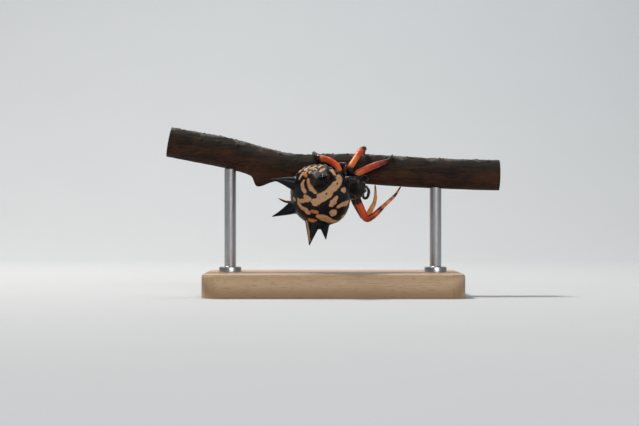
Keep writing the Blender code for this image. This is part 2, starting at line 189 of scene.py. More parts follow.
# Two short rods of brushed steel are pressed into the base. Each stands in a small turned collar, and
# its point is let into the underside of the twig, so that nothing shows above it.
ROD_RADIUS = 0.6
COLLAR_RADIUS = 1.15
COLLAR_HEIGHT = 0.5
COLLAR_SUNK = 0.2
COLLAR_EDGE = 0.16
COLLAR_EASE = 0.05
ROD_SEAT = 0.04
ROD_SUNK = 0.5
ROD_EDGE = 0.1
ROD_SIDES = 48
SHARP_STEEL = math.radians(32.0)
STEEL = (0.56, 0.56, 0.565)
BRUSHED_DARK = (0.48, 0.48, 0.49)


def settle(name, bm, surface, replaced, to_world=None):
    """Turns a bmesh in millimetres into a finished piece of the frame that rides on its body."""
    mesh = bpy.data.meshes.new(name)
    bm.to_mesh(mesh)
    bm.free()
    if to_world is not None:
        mesh.transform(to_world)
    mesh.transform(Matrix.Scale(MM, 4))
    mesh.shade_smooth()
    for finish_made in surface if isinstance(surface, tuple) else (surface,):
        mesh.materials.append(finish_made)
    piece = bpy.data.objects.new(name, mesh)
    bpy.context.scene.collection.objects.link(piece)
    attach(piece, "root")
    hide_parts(*replaced)
    return piece


def turned(profile, steps):
    """A solid turned round Z from a profile of (radius, height) pairs that starts and ends on the axis."""
    bm = bmesh.new()
    corners = [bm.verts.new((radius, 0.0, height)) for radius, height in profile]
    edges = [bm.edges.new(pair) for pair in zip(corners, corners[1:])]
    bmesh.ops.spin(
        bm, geom=corners + edges, cent=(0.0, 0.0, 0.0), axis=(0.0, 0.0, 1.0), angle=math.tau,
        steps=steps, use_merge=True)
    bmesh.ops.remove_doubles(bm, verts=bm.verts, dist=1e-4)
    bmesh.ops.recalc_face_normals(bm, faces=bm.faces)
    return bm


def brushed_steel():
    """Steel with fine lengthwise brush marks."""
    made, tree, shader = finish("brushed_steel", 0.3)
    shader.inputs["Metallic"].default_value = 1.0
    marks = speckle(tree, place(tree, (14.0, 14.0, 0.5)), 1.5, 4.0, 0.6)
    colour = mix(tree, ramp(tree, marks, (0.3, 0.0), (0.7, 1.0)), BRUSHED_DARK, STEEL)
    wire(tree, shader, Base_Color=colour, Roughness=ramp(tree, marks, (0.25, 0.24), (0.75, 0.42)),
         Normal=bump(tree, marks, 0.006))
    return made


BRUSHED_STEEL = brushed_steel()
for rod in ("stand_rod_left", "stand_rod_right"):
    low, high = (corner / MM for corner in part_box(rod))
    base_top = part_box("stand_base")[1].z / MM
    collar_top = base_top + COLLAR_HEIGHT
    tip = high.z + ROD_SUNK
    shape = turned((
        (0.0, base_top - COLLAR_SUNK), (COLLAR_RADIUS, base_top - COLLAR_SUNK),
        (COLLAR_RADIUS, collar_top - COLLAR_EDGE), (COLLAR_RADIUS - COLLAR_EASE, collar_top - COLLAR_EASE),
        (COLLAR_RADIUS - COLLAR_EDGE, collar_top), (ROD_RADIUS + ROD_SEAT, collar_top),
        (ROD_RADIUS, collar_top + ROD_SEAT), (ROD_RADIUS, tip - ROD_EDGE),
        (ROD_RADIUS - ROD_EDGE, tip), (0.0, tip)), ROD_SIDES)
    bmesh.ops.translate(shape, verts=shape.verts, vec=((low.x + high.x) / 2.0, (low.y + high.y) / 2.0, 0.0))
    piece = settle(rod + "_turned", shape, BRUSHED_STEEL, [rod])
    piece.data.set_sharp_from_angle(angle=SHARP_STEEL)


# The perch is a cut length of a dead twig. Its thin bark is dark red-brown with fine lengthwise fibres,
# duller toward the top, and grey along the top, partly a weathered crust and partly painted sunlight. A small
# bud points down from it.
TWIG_LENGTH = 34.0
TWIG_RADIUS = 1.54
TWIG_HEIGHT = 13.24
TWIG_Y = 1.5
TWIG_FALL = 0.102
TWIG_ARC = 0.0025
SAG_DEPTH = 0.8
SAG_X = -4.4
SAG_SPREAD = 4.7
TWIG_STATIONS = 380
TWIG_SIDES = 124
BUD_X = -7.1
BUD_DROP = 0.85
BUD_REACH = 0.95
BUD_TAIL = 1.9
BUD_ASIDE = 0.25
BUD_SWELL = 0.12
BUD_DARKNESS = 0.8
FIBRE_RELIEF = 0.03
RIDGE_RELIEF = 0.06
CRUST_RELIEF = 0.06
KNOBS = 60
CUT_STEP = 0.14
SHARP_CUT = math.radians(60.0)
RED_BARK = (0.060, 0.0245, 0.0135)
DARK_BARK = (0.0145, 0.009, 0.0062)
RUSTY_BARK = (0.092, 0.033, 0.016)
GREY_BARK = (0.175, 0.172, 0.164)
CREVICE = (0.04, 0.033, 0.03)
KNOB_BROWN = (0.02, 0.015, 0.014)
UPWARD_TINT = (0.57, 1.0, 1.22)
CUT_WOOD = (0.50, 0.36, 0.215)
LATE_WOOD = (0.36, 0.235, 0.125)
BARK_RING = (0.07, 0.03, 0.02)
PITH = (0.17, 0.095, 0.05)


def smooth(low, high, value):
    """Eases from 0 at low to 1 at high."""
    t = np.clip((value - low) / (high - low), 0.0, 1.0)
    return t * t * (3.0 - 2.0 * t)


def twig_height(x):
    """Height of the twig's axis: a shallow arc that falls to the right and sags beside the bud."""
    sag = SAG_DEPTH * math.exp(-((x - SAG_X) / SAG_SPREAD) ** 2)
    return TWIG_HEIGHT - TWIG_FALL * x + TWIG_ARC * x ** 2 - sag


def frames_along(points):
    """For each point of a way, the way's direction there and two directions square to it, never twisting."""
    made = []
    side = None
    last = len(points) - 1
    for index in range(len(points)):
        ahead = (points[min(index + 1, last)] - points[max(index - 1, 0)]).normalized()
        if side is None:
            side = ahead.orthogonal()
        side = (side - ahead * side.dot(ahead)).normalized()
        made.append((ahead, side, ahead.cross(side)))
    return made


def rolled_tube(points, radii, sides, relief=None):
    """A grid rolled into a closed tube along a way."""
    bm = bmesh.new()
    last = len(points) - 1
    bmesh.ops.create_grid(bm, x_segments=last, y_segments=sides, size=0.5)
    frames = frames_along(points)
    for vert in bm.verts:
        station = round((vert.co.x + 0.5) * last)
        angle = (vert.co.y + 0.5) * math.tau
        _, side, other = frames[station]
        outward = side * math.cos(angle) + other * math.sin(angle)
        radius = radii[station]
        if relief is not None:
            radius += relief(points[station], outward)
        vert.co = points[station] + outward * radius
    seam = [vert for vert in bm.verts if vert.is_boundary]
    bmesh.ops.remove_doubles(bm, verts=seam, dist=1e-5)
    bmesh.ops.holes_fill(bm, edges=[edge for edge in bm.edges if edge.is_boundary], sides=0)
    bmesh.ops.recalc_face_normals(bm, faces=bm.faces)
    return bm


def bark_knobs():
    """Places and sizes of the small dark knobs, most of them on the weathered upper side."""
    draw = random.Random(11)
    knobs = []
    for _ in range(KNOBS):
        x = draw.uniform(-16.0, 16.0)
        angle = draw.gauss(math.radians(92.0), math.radians(30.0))
        outward = Vector((0.0, -math.cos(angle), math.sin(angle)))
        axis = Vector((x, TWIG_Y, twig_height(x)))
        knobs.append((axis + outward * TWIG_RADIUS, draw.uniform(0.08, 0.2), draw.uniform(0.04, 0.16)))
    return knobs


BARK_KNOBS = bark_knobs()


def bark_relief(axis, outward):
    """How far the bark stands out at a place: fibres, crust, knobs, the swelling at the bud and the bud."""
    x = axis.x
    surface = axis + outward * TWIG_RADIUS
    fibre = noise.noise(Vector((x * 0.5, surface.y * 5.0, surface.z * 5.0)))
    ridge = noise.noise(Vector((x * 0.12, surface.y * 1.1, surface.z * 1.1)))
    wander = noise.noise(Vector((x * 0.9, surface.y * 0.7, 3.0)))
    upper = float(smooth(0.55, 1.05, outward.z + 0.15 * outward.y + 0.3 * wander))
    crust = noise.fractal(surface * 2.6, 0.9, 2.1, 4)
    lift = FIBRE_RELIEF * fibre + RIDGE_RELIEF * ridge + upper * CRUST_RELIEF * crust
    lift += BUD_SWELL * math.exp(-((x - BUD_X) / 1.1) ** 2) * (0.6 - 0.6 * outward.z)
    for middle, width, height in BARK_KNOBS:
        gap = (surface - middle).length
        if gap < 2.2 * width:
            lift += height * math.exp(-(gap / width) ** 2 * 1.6)
    if outward.z < -0.2:
        along = (x - BUD_X) / (1.0 if x < BUD_X else BUD_TAIL)
        aside = Vector((along, surface.y - TWIG_Y + BUD_ASIDE, 0.0)).length
        lift += BUD_DROP * float(smooth(1.0, 0.0, aside / BUD_REACH)) ** 1.15
    return lift


def bark():
    """Red-brown bark with dark fibres, duller toward the top, grey above as crust and painted sunlight, and
    dark knobs.
    """
    made, tree, shader = finish("bark", 0.8)
    fibres = speckle(tree, place(tree, (0.55, 6.0, 6.0)), 1.5, 5.0, 0.65)
    blotches = speckle(tree, place(tree, (0.5, 1.0, 1.0)), 0.7, 4.0, 0.6)
    crumbs = speckle(tree, place(tree), 7.0, 4.0, 0.65)
    upper = node(tree, "Attribute", attribute_name="upper").outputs["Fac"]
    colour = mix(tree, ramp(tree, fibres, (0.38, 0.0), (0.66, 1.0)), DARK_BARK, RED_BARK)
    colour = mix(tree, ramp(tree, blotches, (0.5, 0.0), (0.72, 0.55)), colour, RUSTY_BARK)
    colour = mix(tree, ramp(tree, blotches, (0.34, 0.75), (0.5, 0.0)), colour, DARK_BARK)
    # The bark turns duller and bluer the more it faces up.
    upward_tint = node(tree, "Attribute", attribute_name="upward_tint").outputs["Fac"]
    colour = mix(tree, upward_tint, colour, UPWARD_TINT, "MULTIPLY")
    # The grey above is partly a weathered crust and partly painted sunlight on the top of the twig.
    crust_and_top_light = sums(tree, "ADD", upper, sums(tree, "MULTIPLY_ADD", crumbs, 0.7, -0.35))
    crust_and_top_light = ramp(tree, crust_and_top_light, (0.3, 0.0), (0.85, 1.0))
    grey = mix(tree, ramp(tree, crumbs, (0.34, 0.0), (0.66, 1.0)), CREVICE, GREY_BARK)
    colour = mix(tree, crust_and_top_light, colour, grey)
    knob = node(tree, "Attribute", attribute_name="knob").outputs["Fac"]
    colour = mix(tree, knob, colour, KNOB_BROWN)
    relief = bump(tree, crumbs, 0.03, bump(tree, fibres, 0.035))
    wire(tree, shader, Base_Color=colour, Normal=relief,
         Roughness=ramp(tree, fibres, (0.3, 0.62), (0.7, 0.85)))
    shader.inputs["Specular IOR Level"].default_value = 0.11
    return made


def cut_wood():
    """The sawn ends: a thin dark bark ring, pale wood with faint rings and a brown pith."""
    made, tree, shader = finish("cut_wood", 0.75)
    depth = node(tree, "Attribute", attribute_name="depth").outputs["Fac"]
    grain = speckle(tree, place(tree), 4.0, 3.0)
    rings = sums(tree, "SINE", sums(tree, "MULTIPLY_ADD", depth, 21.0, sums(tree, "MULTIPLY", grain, 5.0)))
    wood = mix(tree, ramp(tree, rings, (0.0, 0.0), (0.9, 0.5)), CUT_WOOD, LATE_WOOD)
    wood = mix(tree, ramp(tree, depth, (0.12, 0.0), (0.2, 1.0)), BARK_RING, wood)
    inward = sums(tree, "MULTIPLY", depth, 0.5)
    wood = mix(tree, ramp(tree, inward, (0.64, 0.0), (0.69, 1.0)), wood, PITH)
    wire(tree, shader, Base_Color=wood, Normal=bump(tree, grain, 0.03))
    return made


def weather_bark(bm):
    """Stores at each vertex how grey the top is with crust and painted sunlight, how much duller it turns
    upward and how dark the bark is there.
    """
    upper = bm.verts.layers.float.new("upper")
    upward_tint = bm.verts.layers.float.new("upward_tint")
    knob = bm.verts.layers.float.new("knob")
    for vert in bm.verts:
        outward = (vert.co - Vector((vert.co.x, TWIG_Y, twig_height(vert.co.x)))).normalized()
        wander = noise.fractal(vert.co * 0.8, 1.0, 2.0, 3)
        vert[upper] = float(smooth(0.55, 1.1, outward.z + 0.2 * outward.y + 0.3 * wander))
        vert[upward_tint] = float(smooth(-0.5, 0.75, outward.z + 0.3 * wander))
        for middle, width, _ in BARK_KNOBS:
            gap = (vert.co - middle).length
            if gap < 2.0 * width:
                vert[knob] = max(vert[knob], float(smooth(1.5, 0.6, gap / width)))
        if outward.z < -0.2:
            gap = math.hypot(vert.co.x - BUD_X, vert.co.y - TWIG_Y)
            vert[knob] = max(vert[knob], BUD_DARKNESS * float(smooth(1.6, 0.5, gap / BUD_REACH)))


def saw_end(bm, cap, depth):
    """Turns a cap into a sawn face, stepped inwards in rings, and stores each ring's depth in the wood."""
    middle = cap.calc_center_median()
    ring = list(cap.edges)
    bmesh.ops.delete(bm, geom=[cap], context="FACES_ONLY")
    left = TWIG_RADIUS
    while left > 2.0 * CUT_STEP:
        made = bmesh.ops.extrude_edge_only(bm, edges=ring)["geom"]
        ring = [part for part in made if isinstance(part, bmesh.types.BMEdge)]
        step = Matrix.Scale((left - CUT_STEP) / left, 4)
        inner = [part for part in made if isinstance(part, bmesh.types.BMVert)]
        bmesh.ops.transform(bm, matrix=step, verts=inner, space=Matrix.Translation(-middle))
        left -= CUT_STEP
        for vert in inner:
            vert[depth] = TWIG_RADIUS - left
        for part in made:
            if isinstance(part, bmesh.types.BMFace):
                part.material_index = 1
    core = bmesh.ops.edgeloop_fill(bm, edges=ring)["faces"]
    for face in core:
        face.material_index = 1
    bmesh.ops.poke(bm, faces=core)["verts"][0][depth] = TWIG_RADIUS


def twig():
    """The bark as a rolled grid, with its two sawn ends."""
    left_end = -TWIG_LENGTH / 2.0 + TWIG_RADIUS * 2.0 * TWIG_ARC * TWIG_LENGTH
    points = []
    for step in range(TWIG_STATIONS + 1):
        x = left_end + (TWIG_LENGTH / 2.0 - left_end) * step / TWIG_STATIONS
        points.append(Vector((x, TWIG_Y, twig_height(x))))
    bm = rolled_tube(points, [TWIG_RADIUS] * len(points), TWIG_SIDES, bark_relief)
    depth = bm.verts.layers.float.new("depth")
    weather_bark(bm)
    for cap in [face for face in bm.faces if len(face.verts) > 4]:
        saw_end(bm, cap, depth)
    bmesh.ops.recalc_face_normals(bm, faces=bm.faces)
    piece = settle("twig_bark", bm, (bark(), cut_wood()), ["perch_twig"])
    piece.data.set_sharp_from_angle(angle=SHARP_CUT)


twig()


# The camera stands level, in front of the twig, where the photographer stood. It comes before the
# spider because the markings are set on the shield along the lines of sight of the photograph.
CAMERA_PLACE = Vector((-1.37, -190.0, 8.38))
FRAME_WIDTH = 64.87
SENSOR = 36.0

eye = bpy.data.cameras.new("camera")
eye.sensor_width = SENSOR
eye.lens = SENSOR * -CAMERA_PLACE.y / FRAME_WIDTH
eye.clip_start = 0.002
eye.clip_end = 20.0
camera = bpy.data.objects.new("camera", eye)
bpy.context.scene.collection.objects.link(camera)
camera.location = CAMERA_PLACE * MM
camera.rotation_euler = (math.radians(90.0), 0.0, 0.0)
bpy.context.scene.camera = camera


# The abdomen is one hard shield with a domed back, thick folded flanks and six thorns that grow out of it.
# The cuticle is glossy blue-black with faintly raised cream marks, a few orange ones by the thorns and small
# dark pits where muscles pull on it from inside.
BODY_MIDDLE = Vector((-1.2, -2.4, 10.23))
HEAD_AWAY = math.radians(4.0)
HEAD_UP = math.radians(2.8)
BACK_DOWN = math.radians(35.0)
ABDOMEN_HALF_LENGTH = 2.96
ABDOMEN_FORWARD = -0.1
ABDOMEN_HALF_WIDTH = 3.3
ABDOMEN_BACK = 2.15
ABDOMEN_BELLY = 2.1
ABDOMEN_LOBE = 0.55
ABDOMEN_RISE = 0.13
ABDOMEN_FULLNESS = 0.89
RIM_AT_REAR = -0.25
RIM_AT_FRONT = 0.5
SPINNERET_X = -0.5
SPINNERET_CONE = 0.25
MARK_RELIEF = 0.016
PIT_DEPTH = 0.035
SKIN_GRAIN = 0.05
BALL_FINENESS = 7
THORN_TIP_RADIUS = 0.05
THORN_STEPS = 100
THORN_SIDES = 90
FLANK_FOLDS = 33
FOLD_DEPTH = 0.035
BELLY_SPOTS = 14
WANDER_SEED = 7
BROAD_WANDER = 0.09
FINE_WANDER = 0.06
BLUE_BLACK = (0.0035, 0.0045, 0.008)
PINK_CREAM = (0.50, 0.29, 0.175)
YELLOW_CREAM = (0.50, 0.325, 0.165)
DEEP_CREAM = (0.40, 0.185, 0.075)
RUST = (0.12, 0.03, 0.008)
FRECKLE_BROWN = (0.26, 0.09, 0.03)
ORANGE = (0.50, 0.13, 0.02)

# Thorns, written for the left and mirrored to the right: sunk root, tip, root radius, flare and bow. The
# last pair is how much further forward the left one's root and tip stand.
THORNS = (
    ((-1.75, 0.95, -0.27), (-4.98, 2.29, 0.16), 1.09, 1.2, (0.0, 0.1, 0.03), (0.0, 0.0)),
    ((-0.7, 1.9, 0.45), (-1.45, 4.0, 3.05), 1.18, 1.1, (0.0, 0.05, -0.03), (0.35, 0.7)),
    ((0.15, 2.05, 0.45), (0.27, 3.85, 2.4), 1.0, 1.1, (0.0, 0.0, 0.0), (0.12, 0.1)),
)
FOOTING_MIDDLE = Vector((-0.35, 2.55, 1.05))
FOOTING_SIZE = Vector((1.15, 0.78, 0.85))
FOOTING_LEAD = Vector((0.25, 0.0, 0.0))

# Marks are chains of (right, down, radius), as the camera sees them from this corner of the picture
MARK_CORNER = Vector((-4.975, 0.0, 13.968))
CREAM_AND_GLINT_MARKS = (
    ((4.90, 1.29, 0.24), (5.08, 1.58, 0.2), (5.16, 1.72, 0.12)),
    ((5.44, 2.02, 0.24), (5.66, 2.03, 0.36), (5.53, 2.54, 0.36), (5.13, 2.89, 0.37), (4.72, 3.30, 0.38),
     (4.37, 3.71, 0.45), (3.86, 4.01, 0.47), (3.25, 4.52, 0.43)),
    ((3.55, 3.81, 0.24), (3.5, 4.1, 0.3)),
    ((3.25, 4.52, 0.4), (2.97, 4.42, 0.27)),
    ((2.23, 3.96, 0.28), (2.44, 4.21, 0.31)),
    ((1.75, 4.37, 0.24), (2.18, 4.26, 0.25)),
    ((1.04, 4.14, 0.21), (1.04, 4.21, 0.21)),
    ((1.45, 4.21, 0.14), (1.55, 4.72, 0.19), (1.78, 5.03, 0.20), (2.18, 5.23, 0.26), (2.46, 5.58, 0.25)),
    ((2.01, 2.32, 0.13), (1.82, 2.72, 0.2), (1.88, 3.12, 0.24), (2.14, 3.42, 0.18)),
    ((2.46, 2.22, 0.17), (2.57, 2.70, 0.22), (2.82, 3.17, 0.28), (3.13, 3.48, 0.2)),
    ((3.55, 5.94, 0.31), (3.91, 6.07, 0.46), (4.31, 6.17, 0.36), (4.62, 6.37, 0.35), (5.08, 6.45, 0.25),
     (5.48, 6.47, 0.23), (5.71, 6.42, 0.15)),
    ((6.04, 3.25, 0.31), (6.05, 3.26, 0.31)),
    ((5.23, 4.11, 0.24), (5.03, 4.47, 0.34), (4.82, 4.77, 0.24)),
    ((5.00, 5.56, 0.39), (5.00, 5.61, 0.40)),
    ((5.51, 5.00, 0.17), (5.94, 4.72, 0.29), (6.42, 4.54, 0.28)),
    ((5.99, 5.89, 0.21), (6.04, 5.89, 0.21)),
    ((1.12, 1.78, 0.11), (1.56, 1.40, 0.14), (1.96, 1.07, 0.15)),
    ((1.62, 2.02, 0.15), (1.86, 1.56, 0.16)),
    ((2.1, 1.25, 0.14), (2.5, 0.93, 0.17)),
    ((2.76, 1.07, 0.12), (3.24, 0.8, 0.15)),
    ((3.57, 0.93, 0.14), (3.96, 0.76, 0.15)),
    ((2.6, 1.5, 0.12), (2.74, 1.42, 0.11)),
    # The next two marks are pale patches above the black dome that carry a painted sun glint: partly cream,
    # partly painted highlight.
    ((3.68, 1.38, 0.11), (4.04, 1.13, 0.15)),
    ((3.2, 1.12, 0.09), (3.35, 1.22, 0.08)),
    # The last chain runs down the left edge of the thorn that points down: a painted sun highlight along its
    # rim, over a thin cream stripe.
    ((2.3, 6.45, 0.13), (2.42, 7.1, 0.13), (2.53, 7.8, 0.1), (2.58, 8.4, 0.06)),
)
ORANGE_MARKS = (
    ((2.86, 5.42, 0.2), (3.30, 5.54, 0.23)),
    ((2.59, 6.27, 0.19), (2.99, 6.32, 0.23), (3.25, 6.35, 0.15)),
    ((2.09, 1.62, 0.2), (2.24, 1.82, 0.17)),
)
DARK_PITS = (
    ((3.1, 3.82, 0.15), (3.12, 3.95, 0.17)),
    ((4.29, 3.63, 0.05), (4.29, 3.64, 0.05)),
    ((3.47, 4.78, 0.045), (3.47, 4.79, 0.045)),
    ((5.42, 2.62, 0.04), (5.42, 2.63, 0.04)),
    ((4.38, 4.95, 0.06), (4.39, 4.96, 0.06)),
    ((3.32, 5.22, 0.05), (3.33, 5.22, 0.05)),
)


def body_matrix():
    """Turns body axes into world axes: heading, then nose up, then the roll that shows the back."""
    head = Vector((
        math.cos(HEAD_AWAY) * math.cos(HEAD_UP),
        math.sin(HEAD_AWAY) * math.cos(HEAD_UP),
        math.sin(HEAD_UP),
    ))
    upright = Vector((0.0, 0.0, 1.0))
    side = (upright - head * head.dot(upright)).normalized()
    facing = head.cross(side)
    left = side * math.cos(BACK_DOWN) + facing * math.sin(BACK_DOWN)
    back = facing * math.cos(BACK_DOWN) - side * math.sin(BACK_DOWN)
    turn = Matrix((head, left, back)).transposed().to_4x4()
    return Matrix.Translation(BODY_MIDDLE) @ turn


BODY = body_matrix()


def full(value, power):
    """Pushes a point of a unit ball outward, so that the ball turns boxier as power falls below 1."""
    return math.copysign(abs(value) ** power, value)


def shield_point(ball):
    """A place on the shield, in body axes, for a point of the unit ball."""
    x, y, z = (full(value, ABDOMEN_FULLNESS) for value in ball)
    made = Vector((ABDOMEN_FORWARD + ABDOMEN_HALF_LENGTH * x, ABDOMEN_HALF_WIDTH * y, 0.0))
    rim = RIM_AT_REAR + (RIM_AT_FRONT - RIM_AT_REAR) * float(smooth(-0.9, 0.9, x))
    if z >= 0.0:
        made.z = rim + (ABDOMEN_BACK * (1.0 + ABDOMEN_RISE * x) - rim) * z
    else:
        depth = ABDOMEN_BELLY + (ABDOMEN_LOBE - ABDOMEN_BELLY) * float(smooth(0.15, 0.7, x))
        aside = (made.x - SPINNERET_X) ** 2 + made.y ** 2
        made.z = rim + (depth + rim) * z - SPINNERET_CONE * math.exp(-aside / 0.64)
    fold = math.atan2(made.y / ABDOMEN_HALF_WIDTH, made.x / ABDOMEN_HALF_LENGTH) * FLANK_FOLDS
    low_down = smooth(0.35, -0.35, z) * smooth(-1.0, -0.75, z)
    made += Vector(ball) * FOLD_DEPTH * float(low_down) * math.sin(fold)
    return made


def ball_mesh(subdivisions, shape):
    """An even ball of triangles with each point moved to its place."""
    bm = bmesh.new()
    bmesh.ops.create_icosphere(bm, subdivisions=subdivisions, radius=1.0)
    for vert in bm.verts:
        vert.co = shape(vert.co)
    bmesh.ops.recalc_face_normals(bm, faces=bm.faces)
    return bm


def thorn(root, tip, root_radius, flare, bow):
    """A tapering thorn, a little bowed. It is a plain cone at a flare of 1."""
    points = []
    radii = []
    for step in range(THORN_STEPS + 1):
        t = step / THORN_STEPS
        points.append(root.lerp(tip, t) + bow * math.sin(math.pi * t))
        radii.append(THORN_TIP_RADIUS + (root_radius - THORN_TIP_RADIUS) * (1.0 - t) ** flare)
    return rolled_tube(points, radii, THORN_SIDES)


def gather(pieces):
    """Puts several bmeshes into one and frees them."""
    whole = bmesh.new()
    for piece in pieces:
        mesh = bpy.data.meshes.new("part")
        piece.to_mesh(mesh)
        piece.free()
        whole.from_mesh(mesh)
        bpy.data.meshes.remove(mesh)
    return whole


def fused(bm, grain):
    """One closed skin of even squares over all the closed shapes in a bmesh."""
    mesh = bpy.data.meshes.new("fused")
    bm.to_mesh(mesh)
    bm.free()
    holder = bpy.data.objects.new("fused", mesh)
    bpy.context.scene.collection.objects.link(holder)
    remesh = holder.modifiers.new("fused", "REMESH")
    remesh.mode = "VOXEL"
    remesh.voxel_size = grain
    bpy.context.view_layer.update()
    skin = bmesh.new()
    skin.from_object(holder, bpy.context.evaluated_depsgraph_get())
    bpy.data.objects.remove(holder)
    return skin


def places(bm):
    """Places of all the vertices, a row for each."""
    return np.array([vert.co for vert in bm.verts])


def put_back(bm, where):
    """Moves every vertex to its place and turns the faces outward."""
    for vert, spot in zip(bm.verts, where):
        vert.co = spot
    bmesh.ops.recalc_face_normals(bm, faces=bm.faces)


def relaxed(bm, where, weights, rounds):
    """Places of the vertices after so many rounds of easing each toward its neighbours by its weight."""
    pairs = np.array([[vert.index for vert in edge.verts] for edge in bm.edges])
    count = np.zeros(len(where))
    np.add.at(count, pairs.ravel(), 1.0)
    for _ in range(rounds):
        total = np.zeros_like(where)
        np.add.at(total, pairs[:, 0], where[pairs[:, 1]])
        np.add.at(total, pairs[:, 1], where[pairs[:, 0]])
        where = where + (total / count[:, None] - where) * weights[:, None]
    return where


def snapped(where, trees):
    """Each place moved to the nearest of several surfaces, and its distance from every one."""
    gaps = np.zeros((len(where), len(trees)))
    found = np.zeros((len(trees), len(where), 3))
    for column, tree in enumerate(trees):
        for row, point in enumerate(where):
            place_found, _, _, gap = tree.find_nearest(Vector(point))
            found[column, row] = place_found
            gaps[row, column] = gap
    nearest = gaps.argmin(axis=1)
    return found[nearest, np.arange(len(where))], gaps


def on_shield(tree, right, down):
    """The place on the shield, in body axes, that the camera sees at a place in the picture, or None."""
    to_body = BODY.inverted()
    seen = to_body @ (MARK_CORNER + Vector((right, 0.0, -down)))
    start = to_body @ CAMERA_PLACE
    return tree.ray_cast(start, (seen - start).normalized())[0]


def wandered(where):
    """Places shifted a little to and fro, which gives marks measured from them lumpy edges.

    Without a seed this kind of noise starts from the clock, and each run would have other edges.
    """
    noise.seed_set(WANDER_SEED)
    shifts = []
    for spot in where:
        at = Vector(spot)
        broad = noise.noise_vector(at * 1.9) * BROAD_WANDER
        fine = noise.noise_vector(at * 4.5) * FINE_WANDER
        shifts.append(broad + fine)
    return where + np.array(shifts)


def chain_gaps(where, chains):
    """Distance from each place to the edge of the nearest chain of round marks, negative inside."""
    best = np.full(len(where), 9.0)
    for chain in chains:
        for (start, first), (end, last) in zip(chain, chain[1:]):
            a = np.array(start)
            way = np.array(end) - a
            share = np.clip(((where - a) @ way) / max(way @ way, 1e-9), 0.0, 1.0)
            gap = np.linalg.norm(where - a - share[:, None] * way, axis=1)
            best = np.minimum(best, gap - first - (last - first) * share)
    return best


def seen_chains(tree, marks):
    """Marks of the picture as chains of places on the shield, without those that miss it."""
    chains = []
    for mark in marks:
        chain = [(on_shield(tree, right, down), radius) for right, down, radius in mark]
        chain = [(point, radius) for point, radius in chain if point is not None]
        if len(chain) > 1:
            chains.append(chain)
    return chains


def flank_chains():
    """Cream ridges down the flanks and round spots on the belly, finished from the species."""
    draw = random.Random(5)
    ridges = []
    spots = []
    for number in range(FLANK_FOLDS):
        turn = (number + 0.25) * math.tau / FLANK_FOLDS
        flat = Vector((math.cos(turn), math.sin(turn), 0.0))
        top = draw.uniform(-0.05, 0.2)
        low = draw.uniform(-0.75, -0.5)
        if flat.x > 0.6:
            continue
        if flat.y > 0.15:
            top = -0.42
        ridges.append([
            (shield_point((flat * math.sqrt(1.0 - level ** 2) + Vector((0.0, 0.0, level))).normalized()),
             draw.uniform(0.12, 0.2)) for level in (top, (top + low) / 2.0, low)])
    for number in range(BELLY_SPOTS):
        turn = number * math.tau / BELLY_SPOTS + draw.uniform(-0.12, 0.12)
        level = draw.uniform(-0.9, -0.86)
        flat = Vector((math.cos(turn), math.sin(turn), 0.0))
        middle = shield_point(flat * math.sqrt(1.0 - level ** 2) + Vector((0.0, 0.0, level)))
        radius = draw.uniform(0.18, 0.3)
        spots.append([(middle, radius), (middle + flat * 0.1, radius)])
    return ridges, spots


def cuticle():
    """Glossy blue-black cuticle under freckled cream and orange marks, each with a rusty edge."""
    made, tree, shader = finish("shield_cuticle", 0.3)
    grains = speckle(tree, place(tree), 3.0, 3.0, 0.6)
    freckle = speckle(tree, place(tree), 11.0, 2.0, 0.5)
    hue = speckle(tree, place(tree, middle=(4.0, 1.0, 2.0)), 0.9, 2.0, 0.5)
    wavy = sums(tree, "MULTIPLY_ADD", grains, 0.08, -0.04)
    cream_gap = sums(tree, "ADD", node(tree, "Attribute", attribute_name="cream").outputs["Fac"], wavy)
    orange_gap = sums(tree, "ADD", node(tree, "Attribute", attribute_name="orange").outputs["Fac"], wavy)
    cream = node(tree, "MapRange", {"Value": cream_gap, 1: 0.03, 2: -0.05}).outputs[0]
    edge = node(tree, "MapRange", {"Value": cream_gap, 1: 0.09, 2: 0.0}).outputs[0]
    orange = node(tree, "MapRange", {"Value": orange_gap, 1: 0.04, 2: -0.06}).outputs[0]
    pale = mix(tree, ramp(tree, hue, (0.4, 0.0), (0.6, 1.0)), PINK_CREAM, YELLOW_CREAM)
    pale = mix(tree, ramp(tree, grains, (0.42, 0.0), (0.72, 0.8)), pale, DEEP_CREAM)
    pale = mix(tree, ramp(tree, freckle, (0.6, 0.0), (0.76, 0.5)), pale, FRECKLE_BROWN)
    warm = mix(tree, ramp(tree, grains, (0.35, 0.0), (0.7, 1.0)), ORANGE, DEEP_CREAM)
    colour = mix(tree, edge, BLUE_BLACK, RUST)
    colour = mix(tree, cream, colour, pale)
    colour = mix(tree, orange, colour, warm)
    marked = sums(tree, "MAXIMUM", cream, orange)
    dents = speckle(tree, place(tree), 5.0, 2.0, 0.5)
    relief = bump(tree, dents, 0.02, bump(tree, marked, 0.018))
    wire(tree, shader, Base_Color=colour, Normal=relief,
         Roughness=ramp(tree, marked, (0.0, 0.34), (1.0, 0.5)))
    shader.inputs["Specular IOR Level"].default_value = 0.17
    return made


def write_layers(bm, **values):
    """Stores one number at each vertex under each name."""
    for name, numbers in values.items():
        layer = bm.verts.layers.float.new(name)
        for vert, number in zip(bm.verts, numbers):
            vert[layer] = number


def thorn_shapes():
    """The six thorns, and the broad footing that the front two of each side stand on."""
    growths = []
    for side, lead in ((1, 1.0), (-1, 0.0)):
        mirror = Vector((1.0, side, 1.0))
        for root, tip, root_radius, flare, bow, (root_lead, tip_lead) in THORNS:
            growths.append(thorn(
                Vector(root) * mirror + Vector((root_lead * lead, 0.0, 0.0)),
                Vector(tip) * mirror + Vector((tip_lead * lead, 0.0, 0.0)),
                root_radius, flare, Vector(bow) * mirror))
        middle = (FOOTING_MIDDLE + FOOTING_LEAD * lead) * mirror
        growths.append(ball_mesh(4, lambda ball: middle + ball * FOOTING_SIZE))
    return gather(growths)


